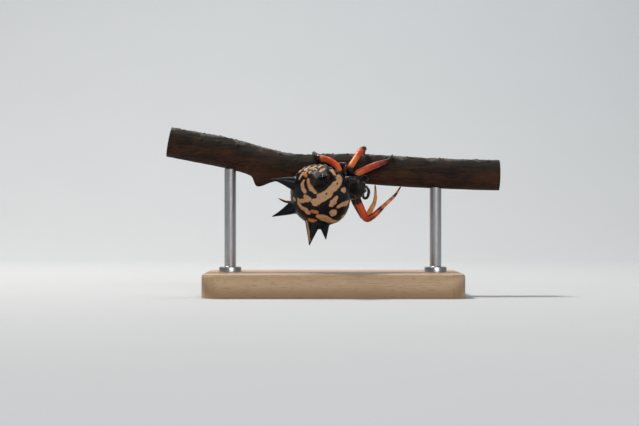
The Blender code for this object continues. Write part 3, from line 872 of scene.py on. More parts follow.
def shield_skin():
    """Shield and thorns as one skin, with its places and their distances from the bare shield and thorns.

    Both shapes are fused, then the skin is brought back to their true surfaces and its creases are eased.
    """
    shield = ball_mesh(BALL_FINENESS, shield_point)
    thorns = thorn_shapes()
    trees = (BVHTree.FromBMesh(shield), BVHTree.FromBMesh(thorns))
    skin = fused(gather([shield, thorns]), SKIN_GRAIN)
    skin.verts.ensure_lookup_table()
    where, _ = snapped(places(skin), trees)
    where = relaxed(skin, where, np.full(len(where), 0.5), 5)
    where, gaps = snapped(where, trees)
    where = relaxed(skin, where, 0.5 * (1.0 - smooth(0.08, 0.5, gaps.sum(axis=1))) + 0.02, 30)
    put_back(skin, where)
    return skin, where, gaps


def abdomen():
    """The skin with its marks stored as distances from their edges, marks raised and pits sunk."""
    skin, where, gaps = shield_skin()
    tree = BVHTree.FromBMesh(skin)
    drifted = wandered(where)
    ridges, spots = flank_chains()
    on_thorn = smooth(0.1, 0.3, gaps[:, 0])
    pits = chain_gaps(where, seen_chains(tree, DARK_PITS))
    # The cream layer also takes the painted sun glint and the painted rim highlight among the marks.
    cream = chain_gaps(drifted, seen_chains(tree, CREAM_AND_GLINT_MARKS))
    cream = np.minimum(cream, chain_gaps(drifted, ridges) + on_thorn)
    cream = np.maximum(cream, 0.04 - pits)
    orange = chain_gaps(drifted, seen_chains(tree, ORANGE_MARKS))
    orange = np.minimum(orange, chain_gaps(drifted, spots))
    raised = MARK_RELIEF * smooth(0.05, -0.05, np.minimum(cream, orange))
    raised -= PIT_DEPTH * smooth(0.04, -0.04, pits)
    skin.normal_update()
    for vert, lift in zip(skin.verts, raised):
        vert.co += vert.normal * lift
    write_layers(skin, cream=cream, orange=orange)
    settle("abdomen_shield", skin, cuticle(), ["abdomen"], BODY)


abdomen()


# The spinnerets stand in a tight ring on the belly's blunt cone: three pairs of short black cones round a
# small knob, all on one low collar of the same hard cuticle.
SPINNERET_TOP = -2.3
SPINNERET_COLLAR = ((0.0, -2.2), (0.44, -2.2), (0.42, -2.45), (0.36, -2.6), (0.22, -2.66), (0.0, -2.68))
SPINNERET_CIRCLE = 0.19
SPINNERET_TIP = -3.0
SPINNERET_STAGGER = 0.1
SPINNERET_RADIUS = 0.135
SPINNERET_TAPER = 0.085
SPINNERET_GRAIN = 0.024
BLACK = (0.0065, 0.0065, 0.008)
THIN_BROWN = (0.016, 0.011, 0.009)


def black_cuticle():
    """Glossy black cuticle, minutely dimpled, a trace brown where it is thin."""
    made, tree, shader = finish("black_cuticle", 0.3)
    dimples = speckle(tree, place(tree), 9.0, 3.0, 0.55)
    broad = speckle(tree, place(tree), 1.6, 2.0, 0.5)
    colour = mix(tree, ramp(tree, broad, (0.45, 0.0), (0.8, 1.0)), BLACK, THIN_BROWN)
    wire(tree, shader, Base_Color=colour, Normal=bump(tree, dimples, 0.02),
         Roughness=ramp(tree, dimples, (0.35, 0.24), (0.65, 0.42)))
    shader.inputs["Specular IOR Level"].default_value = 0.22
    return made


BLACK_CUTICLE = black_cuticle()


def spinnerets():
    """Six cones that lean together on a turned collar, fused into one skin."""
    pieces = [turned(SPINNERET_COLLAR, 32)]
    shares = [step / 12.0 for step in range(13)]
    radii = [SPINNERET_RADIUS - SPINNERET_TAPER * share ** 2 for share in shares]
    for number in range(6):
        turn = math.radians(30.0 + 60.0 * number)
        outward = Vector((math.cos(turn), math.sin(turn), 0.0))
        end = SPINNERET_TIP + SPINNERET_STAGGER * (number % 3)
        root = outward * SPINNERET_CIRCLE + Vector((0.0, 0.0, SPINNERET_TOP))
        tip = outward * SPINNERET_CIRCLE * 0.7 + Vector((0.0, 0.0, end))
        pieces.append(rolled_tube([root.lerp(tip, share) for share in shares], radii, 16))
    skin = fused(gather(pieces), SPINNERET_GRAIN)
    where = relaxed(skin, places(skin), np.full(len(skin.verts), 0.5), 3)
    for vert, spot in zip(skin.verts, where):
        vert.co = Vector(spot) + Vector((SPINNERET_X, 0.0, 0.0))
    settle("spinneret_ring", skin, BLACK_CUTICLE, ["spinnerets"], BODY)


spinnerets()


# The carapace, breast plate, waist, legs, palps and the stout bases of the jaws share one skin, because a
# spider's cuticle runs on over them all. Body and coxae are black, and the legs orange-red with dark ends
# to their segments, with painted shade darkening some legs where they lie in shadow. The palps are black.
CARAPACE_MIDDLE = Vector((3.15, 0.0, -1.0))
CARAPACE_HALF_LENGTH = 1.42
CARAPACE_HALF_WIDTH = 1.4
CARAPACE_TOP = 0.55
BROW_RISE = 0.36
STERNUM_DEPTH = 0.5
STERNUM_NARROWING = 0.5
FOVEA_X = -0.3
GROOVE_DEPTH = 0.075
EYE_MOUND = 0.6
LIMB_GRAIN = 0.045
LEG_SIDES = 28
PALP_SIDES = 20
JAW_SIDES = 24
WAIST_RADIUS = 0.34
KNEE_ROUNDING = 0.36
PALP_ROUNDING = 0.2
JAW_ROUNDING = 0.1
LIMB_STEP = 0.07
SMALL_LIMB_STEP = 0.05
CORNER_STEPS = 8
SEGMENT_SWELL = 0.05
JOINT_PINCH = 0.018
PINCH_WIDTH = 0.06
KNUCKLE_WIDTH = 0.09
KNUCKLE_BACK = 0.17
STOUT_RADIUS = 0.3
RED_ORANGE = (0.64, 0.050, 0.008)
YELLOW_ORANGE = (0.76, 0.33, 0.085)
DARK_BAND_AND_SHADE = (0.03, 0.007, 0.006)
SMOKY_BLACK = (0.013, 0.0095, 0.009)

# Eyes of one side: direction from the middle of the head as a point of the unit ball, and radius
EYES = (
    ("front_middle", (0.93, 0.13, 0.34), 0.13),
    ("rear_middle", (0.82, 0.15, 0.55), 0.12),
    ("front_side", (0.80, 0.55, 0.24), 0.1),
    ("rear_side", (0.70, 0.62, 0.34), 0.1),
)


def bell(value, width):
    """1 at 0, falling off smoothly over about a width."""
    return math.exp(-(value / width) ** 2)


def carapace_point(ball):
    """A place on the cephalothorax, in body axes, for a point of the unit ball."""
    x, y, z = ball
    width = CARAPACE_HALF_WIDTH * (
        1.0 - 0.12 * float(smooth(0.1, 1.0, x)) - 0.22 * float(smooth(-0.3, -1.0, x)))
    if z >= 0.0:
        level = (CARAPACE_TOP + BROW_RISE * float(smooth(-0.1, 0.5, x))) * full(z, 0.8)
    else:
        level = STERNUM_DEPTH * full(z, 0.8)
        width *= 1.0 - STERNUM_NARROWING * float(smooth(0.0, 0.7, -z))
    return CARAPACE_MIDDLE + Vector((CARAPACE_HALF_LENGTH * full(x, 0.85), width * full(y, 0.85), level))


def carapace_grooves(ball):
    """How deep the pit, the neck groove and the furrows toward the legs are sunk at a place."""
    x, y, z = ball
    aside = math.hypot(x - FOVEA_X, y)
    turn = math.degrees(math.atan2(abs(y), x - FOVEA_X))
    neck = bell(turn - 52.0, 7.0) * float(smooth(0.08, 0.25, aside))
    furrows = sum(bell(turn - way, 6.0) for way in (88.0, 118.0, 146.0)) * float(smooth(0.2, 0.45, aside))
    pit = 1.3 * bell(y, 0.06) * bell(x - FOVEA_X, 0.16)
    return GROOVE_DEPTH * max(neck, 0.45 * furrows, pit) * float(smooth(0.15, 0.4, z))


def eye_place(direction, side):
    """Middle of an eye on the carapace, and the way it looks."""
    ball = Vector((direction[0], direction[1] * side, direction[2])).normalized()
    near = [carapace_point((ball + shift).normalized())
            for shift in (Vector((0.0, 0.05, 0.0)), Vector((0.0, 0.0, 0.05)))]
    middle = carapace_point(ball)
    outward = (near[0] - middle).cross(near[1] - middle).normalized()
    if outward.dot(ball) < 0.0:
        outward.negate()
    return middle, outward


def carapace():
    """The carapace with its grooves and a low mound under each eye."""
    mounds = [(eye_place(direction, side), radius) for side in (1, -1) for _, direction, radius in EYES]

    def shape(ball):
        """Where a point of the ball lies on the skin, with grooves and mounds."""
        middle = carapace_point(ball)
        lift = -carapace_grooves(ball)
        for (place_of_eye, _), radius in mounds:
            gap = (middle - place_of_eye).length
            if gap < 4.0 * radius:
                lift += EYE_MOUND * radius * bell(gap, 1.7 * radius)
        return middle + ball * lift

    return ball_mesh(6, shape)


def on_body(x, y, z):
    """World place of a point given in body axes."""
    return BODY @ Vector((x, y, z))


def on_bark(x, y, z, above=0.06):
    """The place on the bark nearest to a world place, a claw's thickness above it."""
    axis = Vector((x, TWIG_Y, twig_height(x)))
    return axis + (Vector((x, y, z)) - axis).normalized() * (TWIG_RADIUS + above)


# Joints of each leg in order: root in the body, coxa, trochanter, knee, patella, tibia, metatarsus, claw.
# The legs that the photograph hides stand where they would grip.
LEG_JOINTS = {
    "leg_left_1": (
        on_body(3.45, 0.3, -1.2), on_body(3.78, 0.85, -1.72), on_body(3.72, 1.25, -1.62),
        Vector((3.98, -1.0, 13.1)), Vector((4.75, -0.85, 13.38)), Vector((5.62, -0.7, 13.66)),
        Vector((5.95, 0.15, 14.12)), on_bark(6.1, 1.2, 14.6)),
    "leg_left_2": (
        on_body(3.1, 0.3, -1.2), on_body(3.15, 0.85, -1.75), on_body(3.0, 1.88, -1.7),
        Vector((2.79, -0.55, 14.66)), Vector((3.17, 0.3, 14.93)), Vector((3.2, 1.9, 14.9)),
        Vector((3.15, 2.85, 14.35)), on_bark(3.05, 3.2, 13.6)),
    "leg_left_3": (
        on_body(2.8, 0.3, -1.2), on_body(2.6, 0.85, -1.75), on_body(2.62, 1.15, -2.0),
        on_body(2.85, 1.5, -2.75), on_body(2.45, 1.5, -3.0), on_body(1.75, 1.45, -3.1),
        on_body(1.25, 1.2, -3.2), on_bark(0.6, -0.4, 13.3)),
    "leg_left_4": (
        on_body(2.3, 0.3, -1.15), on_body(2.0, 0.9, -1.65), on_body(2.05, 1.5, -1.7),
        Vector((0.38, -1.4, 13.2)), Vector((-0.45, -1.0, 13.76)), Vector((-1.3, -0.8, 13.95)),
        Vector((-1.62, -0.4, 14.12)), Vector((-1.85, 0.6, 14.42)), Vector((-2.0, 1.5, 14.58)),
        on_bark(-2.1, 2.5, 14.3)),
    "leg_right_1": (
        on_body(3.45, -0.3, -1.2), on_body(3.8, -0.85, -1.65), on_body(3.84, -1.8, -1.42),
        Vector((3.38, 0.4, 7.64)), Vector((4.27, 0.5, 8.2)), Vector((5.15, 0.75, 9.08)),
        Vector((6.35, 1.1, 10.17)), on_bark(6.92, 1.35, 10.9)),
    "leg_right_2": (
        on_body(3.1, -0.3, -1.2), on_body(3.2, -0.85, -1.8), on_body(3.51, -2.28, -1.98),
        Vector((3.2, 1.35, 7.85)), Vector((3.62, 1.45, 8.2)), Vector((4.3, 1.5, 9.5)),
        Vector((4.38, 1.5, 10.35)), on_bark(4.32, 1.5, 11.0)),
    "leg_right_3": (
        on_body(2.8, -0.3, -1.2), on_body(2.6, -0.85, -1.75), on_body(2.45, -1.6, -2.15),
        on_body(2.2, -2.75, -2.5), on_body(2.1, -2.75, -3.0), on_body(2.0, -2.5, -3.6),
        on_body(1.95, -2.25, -3.95), on_bark(0.7, 0.9, 11.3)),
    "leg_right_4": (
        on_body(2.3, -0.3, -1.15), on_body(2.0, -0.9, -1.65), on_body(1.7, -1.55, -1.95),
        on_body(-0.3, -2.6, -2.6), on_body(-0.9, -2.55, -2.55), on_body(-2.4, -2.2, -2.0),
        on_body(-3.5, -1.65, -1.38), on_body(-4.15, -1.1, -1.2)),
}
LEG_RADII = (0.25, 0.27, 0.31, 0.31, 0.28, 0.19, 0.13, 0.06)
LEG_THICKNESS = {
    "leg_left_1": 1.08, "leg_left_2": 0.98, "leg_left_4": 0.97, "leg_right_1": 1.06, "leg_right_2": 1.04}
THIN_LEG = 0.88

# The hind left leg has two more joints than the rest, which bend its femur at these counts of joints passed
TWO_BENDS_IN_FEMUR = (2.3, 2.65)

# How yellow and how dark each leg is, as (joints passed, share). The near ones follow the photograph.
USUAL_YELLOW = ((2.0, 0.1), (4.7, 0.1), (4.9, 0.55), (5.3, 0.85), (6.0, 0.7), (7.0, 0.5))
USUAL_DARK = (
    (2.14, 1.4), (2.24, 0.05), (2.8, 0.2), (3.1, 0.65), (3.5, 0.8), (3.85, 0.6), (4.05, 0.1), (4.3, 0.3),
    (4.55, 1.2), (4.72, 1.1), (4.86, 0.05), (5.05, 0.1), (5.15, 0.6), (5.28, 0.0), (5.5, 0.1), (5.65, 0.8),
    (5.8, 0.05), (5.95, 1.4), (6.15, 1.4), (6.4, 0.25), (6.55, 0.4), (6.75, 1.6))
LEG_YELLOW = {
    "leg_left_1": ((1.85, 0.6), (2.2, 0.3), (2.5, 0.0), (3.0, 0.0)),
    "leg_left_2": ((2.0, 0.5), (2.6, 0.5), (2.72, 0.0), (3.0, 0.1)),
    "leg_left_4": ((2.0, 0.65), (2.2, 0.2), (2.5, 0.0), (2.9, 0.25)),
    "leg_right_2": ((3.0, 0.1), (4.0, 0.6), (4.3, 0.85), (4.65, 1.15), (5.0, 0.9), (6.0, 0.75), (7.0, 0.5)),
    "leg_right_4": ((2.0, 0.2), (5.0, 0.6), (7.0, 0.4)),
}
LEG_DARK_AND_SHADE = {
    # The first left leg darkens steadily toward its tip: partly its own dark ends, partly painted shade.
    "leg_left_1": (
        (1.8, 1.4), (1.9, 0.05), (2.3, 0.25), (2.7, 0.5), (3.2, 0.65), (3.7, 0.75), (4.2, 0.9), (4.6, 1.1),
        (4.95, 1.6)),
    "leg_left_2": ((2.0, 1.4), (2.1, 0.15), (2.3, 0.0), (2.66, 0.25), (2.72, 0.0), (3.0, 0.15), (3.25, 1.3)),
    # The hidden left third leg is dark all along: painted shade, where it lies under the body.
    "leg_left_3": ((2.0, 1.7), (5.0, 1.6), (7.0, 1.2)),
    # The hind left leg turns dark past its knee, where it runs over the twig: painted shade.
    "leg_left_4": ((1.98, 1.4), (2.05, 0.1), (2.4, 0.05), (2.75, 0.45), (2.92, 0.2), (3.08, 1.6)),
    # The second right leg's femur is dark maroon where it lies behind the first: painted shade.
    "leg_right_2": (
        (2.14, 1.4), (2.22, 0.6), (3.0, 0.75), (3.9, 0.3), (4.1, 0.0), (4.35, 0.15), (4.65, 0.0), (4.95, 0.3),
        (5.2, 0.05), (6.0, 0.15), (6.5, 0.5), (6.75, 1.5)),
    "leg_right_4": ((2.14, 1.4), (2.25, 0.1), (5.0, 0.4), (6.0, 0.7), (6.6, 1.4)),
}
PALP_JOINTS = {
    "palp_left": (
        on_body(4.05, 0.6, -1.5), on_body(4.3, 0.8, -1.85), on_body(4.58, 0.88, -1.78),
        on_body(4.8, 0.75, -1.68), on_body(4.85, 0.4, -1.8), on_body(4.78, 0.18, -2.05)),
    "palp_right": (
        on_body(4.05, -0.6, -1.5), Vector((2.95, -0.18, 10.4)), Vector((3.13, -0.16, 9.83)),
        Vector((3.5, -0.16, 9.93)), Vector((3.66, -0.35, 10.6)), Vector((3.34, -0.58, 11.15))),
}
PALP_RADII = (0.16, 0.155, 0.135, 0.14, 0.155, 0.08)
JAW_RADII = (0.2, 0.27, 0.31, 0.27, 0.17)


def limb_way(joints, rounding, spacing):
    """Points at even distances along a limb whose bends are rounded, each with its count of joints passed."""
    counts = [float(number) for number in range(len(joints))]
    if len(joints) > len(LEG_RADII):
        counts = [0.0, 1.0, 2.0, *TWO_BENDS_IN_FEMUR, *counts[3:-2]]
    route = [joints[0]]
    passed = [counts[0]]
    for index in range(1, len(joints) - 1):
        before, bend, after = joints[index - 1:index + 2]
        back = min(rounding / (before - bend).length, 0.45)
        ahead = min(rounding / (after - bend).length, 0.45)
        enter = bend.lerp(before, back)
        leave = bend.lerp(after, ahead)
        low = counts[index] + (counts[index - 1] - counts[index]) * back
        high = counts[index] + (counts[index + 1] - counts[index]) * ahead
        for corner in range(CORNER_STEPS + 1):
            t = corner / CORNER_STEPS
            route.append(enter * (1.0 - t) ** 2 + bend * 2.0 * t * (1.0 - t) + leave * t ** 2)
            passed.append(np.interp(t, (0.0, 0.5, 1.0), (low, counts[index], high)))
    route.append(joints[-1])
    passed.append(counts[-1])
    spots = np.array(route)
    lengths = np.concatenate(([0.0], np.cumsum(np.linalg.norm(np.diff(spots, axis=0), axis=1))))
    even = np.linspace(0.0, lengths[-1], round(lengths[-1] / spacing) + 1)
    points = [Vector(np.interp(place_there, lengths, axis) for axis in spots.T) for place_there in even]
    return points, np.interp(even, lengths, passed), even


def segmented(counts, lengths, radii, pinched):
    """Thickness along a limb: each segment swells, and is nipped in at its joints behind a low knuckle."""
    made = np.interp(counts, range(len(radii)), radii)
    made = made * (1.0 + SEGMENT_SWELL * np.sin(np.pi * (counts % 1.0)))
    for joint in pinched:
        at = np.interp(joint, counts, lengths)
        made -= JOINT_PINCH * np.exp(-((lengths - at) / PINCH_WIDTH) ** 2) * made / STOUT_RADIUS
        knuckle = np.exp(-((lengths - at + KNUCKLE_BACK) / KNUCKLE_WIDTH) ** 2)
        made += 0.4 * JOINT_PINCH * knuckle * made / STOUT_RADIUS
    made[-1] *= 0.6
    return made


def jaw_joints(side):
    """The way down through the stout base of a jaw."""
    return (
        on_body(4.05, 0.3 * side, -1.2), on_body(4.2, 0.34 * side, -1.5), on_body(4.3, 0.35 * side, -1.85),
        on_body(4.3, 0.33 * side, -2.2), on_body(4.2, 0.28 * side, -2.42))


def limbs():
    """Every limb as a tube, and its way through the air with its name, for the colours and hairs."""
    tubes = []
    ways = []
    for name, joints in LEG_JOINTS.items():
        points, counts, lengths = limb_way(joints, KNEE_ROUNDING, LIMB_STEP)
        radii = segmented(counts, lengths, LEG_RADII, (2, 3, 4, 5, 6)) * LEG_THICKNESS.get(name, THIN_LEG)
        tubes.append(rolled_tube(points, radii, LEG_SIDES))
        ways.append((name, points, counts, radii))
    for name, joints in PALP_JOINTS.items():
        points, counts, lengths = limb_way(joints, PALP_ROUNDING, SMALL_LIMB_STEP)
        radii = segmented(counts, lengths, PALP_RADII, (2, 3, 4))
        tubes.append(rolled_tube(points, radii, PALP_SIDES))
        ways.append((name, points, counts, radii))
    for side in (1, -1):
        points, counts, lengths = limb_way(jaw_joints(side), JAW_ROUNDING, SMALL_LIMB_STEP)
        tubes.append(rolled_tube(points, segmented(counts, lengths, JAW_RADII, ()), JAW_SIDES))
    waist = [on_body(2.2, 0.0, -1.05).lerp(on_body(1.0, 0.0, -0.35), step / 12.0) for step in range(13)]
    tubes.append(rolled_tube(waist, [WAIST_RADIUS] * len(waist), JAW_SIDES))
    return tubes, ways


def limb_cuticle():
    """Black on the body and palps, glossy orange-red on the legs, a little see-through, with dark bands and
    painted shade.
    """
    made, tree, shader = finish("limb_cuticle", 0.3)
    dimples = speckle(tree, place(tree), 9.0, 3.0, 0.55)
    cloud = speckle(tree, place(tree), 2.2, 3.0, 0.55)
    warm = node(tree, "Attribute", attribute_name="warm").outputs["Fac"]
    yellow = node(tree, "Attribute", attribute_name="yellow").outputs["Fac"]
    band = node(tree, "Attribute", attribute_name="band").outputs["Fac"]
    yellow = sums(tree, "MULTIPLY_ADD", cloud, 0.7, sums(tree, "SUBTRACT", yellow, 0.35))
    red = mix(tree, ramp(tree, yellow, (0.0, 0.0), (1.0, 1.0)), RED_ORANGE, YELLOW_ORANGE)
    band = sums(tree, "MULTIPLY", band, ramp(tree, cloud, (0.25, 1.0), (0.75, 0.6)))
    red = mix(tree, band, red, DARK_BAND_AND_SHADE)
    black = mix(tree, cloud, BLACK, SMOKY_BLACK)
    colour = mix(tree, warm, black, red)
    shader.inputs["Specular IOR Level"].default_value = 0.28
    shader.inputs["Subsurface Weight"].default_value = 0.15
    shader.inputs["Subsurface Radius"].default_value = (1.0, 0.35, 0.15)
    shader.inputs["Subsurface Scale"].default_value = 0.3 * MM
    wire(tree, shader, Base_Color=colour, Normal=bump(tree, dimples, 0.016),
         Roughness=ramp(tree, dimples, (0.35, 0.26), (0.65, 0.42)))
    return made


def limb_colours(skin, where, from_limbs, ways):
    """Stores at each vertex whether it is on a coloured leg, and how yellow and how dark it is there, the
    dark being its own bands and painted shade.
    """
    stations = []
    for name, points, counts, _ in ways:
        stations += [(name, count, point) for point, count in zip(points, counts)]
    tree = KDTree(len(stations))
    for number, (_, _, point) in enumerate(stations):
        tree.insert(point, number)
    tree.balance()
    warm = np.zeros(len(where))
    band = np.zeros(len(where))
    yellow = np.zeros(len(where))
    for row, spot in enumerate(where):
        name, count, _ = stations[tree.find(spot)[1]]
        if name in LEG_JOINTS and from_limbs[row] < 0.08:
            warm[row] = smooth(1.78, 1.88, count)
            band[row] = np.interp(count, *zip(*LEG_DARK_AND_SHADE.get(name, USUAL_DARK)))
            yellow[row] = np.interp(count, *zip(*LEG_YELLOW.get(name, USUAL_YELLOW)))
    write_layers(skin, warm=warm, band=band, yellow=yellow)


def fore_body():
    """Carapace, waist, legs, palps and jaws fused into one skin. Gives back the ways of the limbs."""
    tubes, ways = limbs()
    shell = carapace()
    bmesh.ops.transform(shell, matrix=BODY, verts=shell.verts)
    limb_shapes = gather(tubes)
    trees = (BVHTree.FromBMesh(shell), BVHTree.FromBMesh(limb_shapes))
    skin = fused(gather([shell, limb_shapes]), LIMB_GRAIN)
    skin.verts.ensure_lookup_table()
    where, gaps = snapped(places(skin), trees)
    where = relaxed(skin, where, 0.5 * (1.0 - smooth(0.05, 0.3, gaps.sum(axis=1))) + 0.03, 14)
    put_back(skin, where)
    limb_colours(skin, where, gaps[:, 1], ways)
    settle("fore_body", skin, limb_cuticle(), [
        "cephalothorax", "chelicera_left", "chelicera_right", *LEG_JOINTS, *PALP_JOINTS])
    return ways


LIMB_WAYS = fore_body()


# Eight small eyes shine like glass beads: four in a square on the brow and a pair close together at each
# corner of the head. Each sits half sunk in its low mound.
EYE_STANDS_OUT = 0.35
EYE_BROWN = (0.012, 0.006, 0.004)


def eye_glass():
    """Dark brown lens under a clear, polished coat."""
    made, _, shader = finish("eye_glass", 0.05)
    shader.inputs["Base Color"].default_value = (*EYE_BROWN, 1.0)
    shader.inputs["Coat Weight"].default_value = 1.0
    shader.inputs["Coat Roughness"].default_value = 0.03
    return made


def eyes():
    """A ball for each eye, seated on the carapace."""
    beads = []
    replaced = []
    for side, word in ((1, "left"), (-1, "right")):
        for name, direction, radius in EYES:
            middle, outward = eye_place(direction, side)
            seat = middle + outward * radius * EYE_STANDS_OUT
            beads.append(ball_mesh(4, lambda ball: seat + ball * radius))
            replaced.append(f"eye_{name}_{word}")
    settle("eye_beads", gather(beads), eye_glass(), replaced, BODY)


eyes()


# Each jaw ends in a short fang, a curved dark red-brown claw that folds inwards under it.
FANG_BROWN = (0.03, 0.009, 0.006)
FANG_RADII = (0.1, 0.085, 0.055, 0.012)


def horn():
    """Smooth dark horn with a thin gloss."""
    made, _, shader = finish("horn", 0.2)
    shader.inputs["Base Color"].default_value = (*FANG_BROWN, 1.0)
    shader.inputs["Coat Weight"].default_value = 0.4
    return made


HORN = horn()


def fangs():
    """One curved, tapering tube for each fang, its root inside the jaw."""
    pieces = []
    for side in (1, -1):
        joints = (
            on_body(4.22, 0.28 * side, -2.32), on_body(4.16, 0.22 * side, -2.55),
            on_body(3.98, 0.1 * side, -2.6), on_body(3.84, 0.05 * side, -2.48))
        points, counts, _ = limb_way(joints, 0.12, 0.03)
        pieces.append(rolled_tube(points, np.interp(counts, range(len(FANG_RADII)), FANG_RADII), 14))
    settle("fangs", gather(pieces), HORN, ["chelicera_left", "chelicera_right"])


fangs()


# Fine stiff hairs stand out of the cuticle: dark bristles along legs and palps, all leaning to the tip, short
# pale down on the carapace and a few short hairs on the shield. Each is a thin three-sided cone with its root
# in the skin. On the map the limbs lie side by side in columns, and the carapace takes the last one.
HAIR_PATCH = 0.003
MAP_MARGIN = 0.03
MAP_SPAN = 0.94
LIMB_COLUMNS = 11
BRISTLE_RADIUS = 0.007
DOWN_RADIUS = 0.006
SHIELD_HAIR_RADIUS = 0.0055
DOWN_HAIRS = 900
SHIELD_HAIRS = 900
PALE_HAIR = (0.30, 0.25, 0.20)
DARK_HAIR = (0.03, 0.017, 0.012)


def hair_cuticle():
    """Dark to pale hair, by how pale each one is stored to be, with faint streaks."""
    made, tree, shader = finish("hair", 0.5)
    pale = node(tree, "Attribute", attribute_name="pale").outputs["Fac"]
    grain = speckle(tree, place(tree), 6.0, 2.0)
    tone = sums(tree, "MULTIPLY_ADD", grain, 0.3, sums(tree, "MULTIPLY_ADD", pale, 1.0, -0.15))
    tone = ramp(tree, tone, (0.0, 0.0), (1.0, 1.0))
    wire(tree, shader, Base_Color=mix(tree, tone, DARK_HAIR, PALE_HAIR))
    return made


HAIR = hair_cuticle()


def add_hair(bm, layers, root, lean, length, radius, paleness, spot):
    """One cone from its root along its lean, with its patch of the map and its paleness."""
    uv, pale = layers
    turn = lean.to_track_quat("Z", "Y").to_matrix().to_4x4()
    at = Matrix.Translation(root + lean * length / 2.0) @ turn
    made = bmesh.ops.create_cone(
        bm, cap_ends=True, segments=3, radius1=radius, radius2=radius * 0.15, depth=length, matrix=at)
    for vert in made["verts"]:
        vert[pale] = paleness
        far = (vert.co - root).dot(lean) > length / 2.0
        for loop in vert.link_loops:
            loop[uv].uv = (spot[0] + HAIR_PATCH * 0.5 * far, spot[1] + HAIR_PATCH * far)


def hair_mesh():
    """An empty bmesh for hairs, with its map and its layer of paleness."""
    bm = bmesh.new()
    return bm, (bm.loops.layers.uv.new("OFBake"), bm.verts.layers.float.new("pale"))


def bristles(bm, layers, draw):
    """Bristles round every limb, in step with the limb's stations."""
    for column, (name, points, counts, radii) in enumerate(LIMB_WAYS):
        leg = name in LEG_JOINTS
        frames = frames_along(points)
        for point, count, radius, (ahead, side, other) in zip(points, counts, radii, frames):
            if count < (1.3 if leg else 1.8):
                continue
            for _ in range(4 if leg else 3):
                angle = draw.uniform(0.0, math.tau)
                outward = side * math.cos(angle) + other * math.sin(angle)
                lean = (outward * draw.uniform(0.35, 0.7) + ahead).normalized()
                length = draw.uniform(0.07, 0.15) * (1.0 if 2.2 < count < 6.2 else 0.7)
                across = (column + 0.1 + 0.8 * angle / math.tau) / LIMB_COLUMNS
                spot = (across, MAP_MARGIN + MAP_SPAN * count / len(LEG_RADII))
                root = point + outward * radius * 0.94
                add_hair(bm, layers, root, lean, length, BRISTLE_RADIUS, draw.uniform(0.0, 0.4), spot)


def down(bm, layers, draw):
    """Short hairs over the carapace, leaning back toward the waist."""
    turned_as_body = BODY.to_3x3()
    for _ in range(DOWN_HAIRS):
        turn = draw.uniform(-math.pi, math.pi)
        level = draw.uniform(0.12, 0.99)
        flat = math.sqrt(1.0 - level ** 2)
        ball = Vector((flat * math.cos(turn), flat * math.sin(turn), level))
        root = on_body(*(carapace_point(ball) - ball * (carapace_grooves(ball) + 0.015)))
        outward = (turned_as_body @ ball).normalized()
        back = turned_as_body @ Vector((-1.0, 0.25 * math.sin(turn), 0.0))
        lean = (outward * draw.uniform(0.3, 0.8) + back).normalized()
        length = draw.uniform(0.06, 0.12)
        across = (LIMB_COLUMNS - 0.9 + 0.8 * (turn / math.tau + 0.5)) / LIMB_COLUMNS
        spot = (across, MAP_MARGIN + MAP_SPAN * level)
        add_hair(bm, layers, root, lean, length, DOWN_RADIUS, draw.uniform(0.2, 0.8), spot)


def fore_hairs():
    """Bristles and down as one piece."""
    draw = random.Random(23)
    bm, layers = hair_mesh()
    bristles(bm, layers, draw)
    down(bm, layers, draw)
    settle("fore_hairs", bm, HAIR, ["cephalothorax", *LEG_JOINTS, *PALP_JOINTS])


def abdomen_hairs():
    """Sparse short hairs over the shield and its thorns, leaning back."""
    draw = random.Random(37)
    bm, layers = hair_mesh()
    shield = bpy.data.objects["abdomen_shield"].data
    to_body = BODY.inverted()
    turned_as_body = BODY.to_3x3()
    for vert in draw.sample(list(shield.vertices), SHIELD_HAIRS):
        outward = vert.normal.copy()
        surface = vert.co / MM
        back = turned_as_body @ Vector((-1.0, draw.uniform(-0.4, 0.4), 0.0))
        lean = (outward + back * draw.uniform(0.2, 0.6)).normalized()
        length = draw.uniform(0.06, 0.13)
        ball = (to_body @ surface).normalized()
        spot = (MAP_MARGIN + MAP_SPAN * (math.atan2(ball.y, ball.x) / math.tau + 0.5),
                MAP_MARGIN + MAP_SPAN * (ball.z + 1.0) / 2.0)
        root = surface - outward * 0.01
        add_hair(bm, layers, root, lean, length, SHIELD_HAIR_RADIUS, draw.uniform(0.3, 1.0), spot)
    settle("abdomen_hairs", bm, HAIR, ["abdomen"])


fore_hairs()
abdomen_hairs()


# Two hooked claws end each foot, dark, hard and curved down to the bark. They are rooted in the foot's tip,
# and the legs hold on by them.
CLAW_RADII = (0.026, 0.02, 0.005)
CLAW_SIDES = 8


def claws():
    """A pair of thin bent cones at the end of each leg, spread a little and turned toward the twig."""
    pieces = []
    for name, points, _, _ in LIMB_WAYS:
        if name not in LEG_JOINTS:
            continue
        foot = points[-1]
        ahead, _, _ = frames_along(points)[-1]
        inward = (Vector((foot.x, TWIG_Y, twig_height(foot.x))) - foot).normalized()
        across = ahead.cross(inward).normalized()
        for way in (-1, 1):
            joints = (
                foot - ahead * 0.05, foot + ahead * 0.07 + across * 0.035 * way,
                foot + ahead * 0.12 + across * 0.05 * way + inward * 0.06)
            curve, counts, _ = limb_way(joints, 0.05, 0.015)
            pieces.append(rolled_tube(curve, np.interp(counts, range(3), CLAW_RADII), CLAW_SIDES))
    settle("claws", gather(pieces), HORN, [*LEG_JOINTS])


claws()


# The picture's surroundings are left out. A pale floor carries the stand and sweeps up behind it. A soft lamp
# stands high behind on the left, where the sun was, one lights the sweep and a wide one fills from the front.
SWEEP_HALF = 560.0
SWEEP_NEAR = -900.0
SWEEP_BEND = 130.0
SWEEP_RADIUS = 160.0
SWEEP_TOP = 420.0
BEND_STEPS = 32
PALE_GREY = (0.50, 0.52, 0.545)
PALER_GREY = (0.52, 0.54, 0.565)


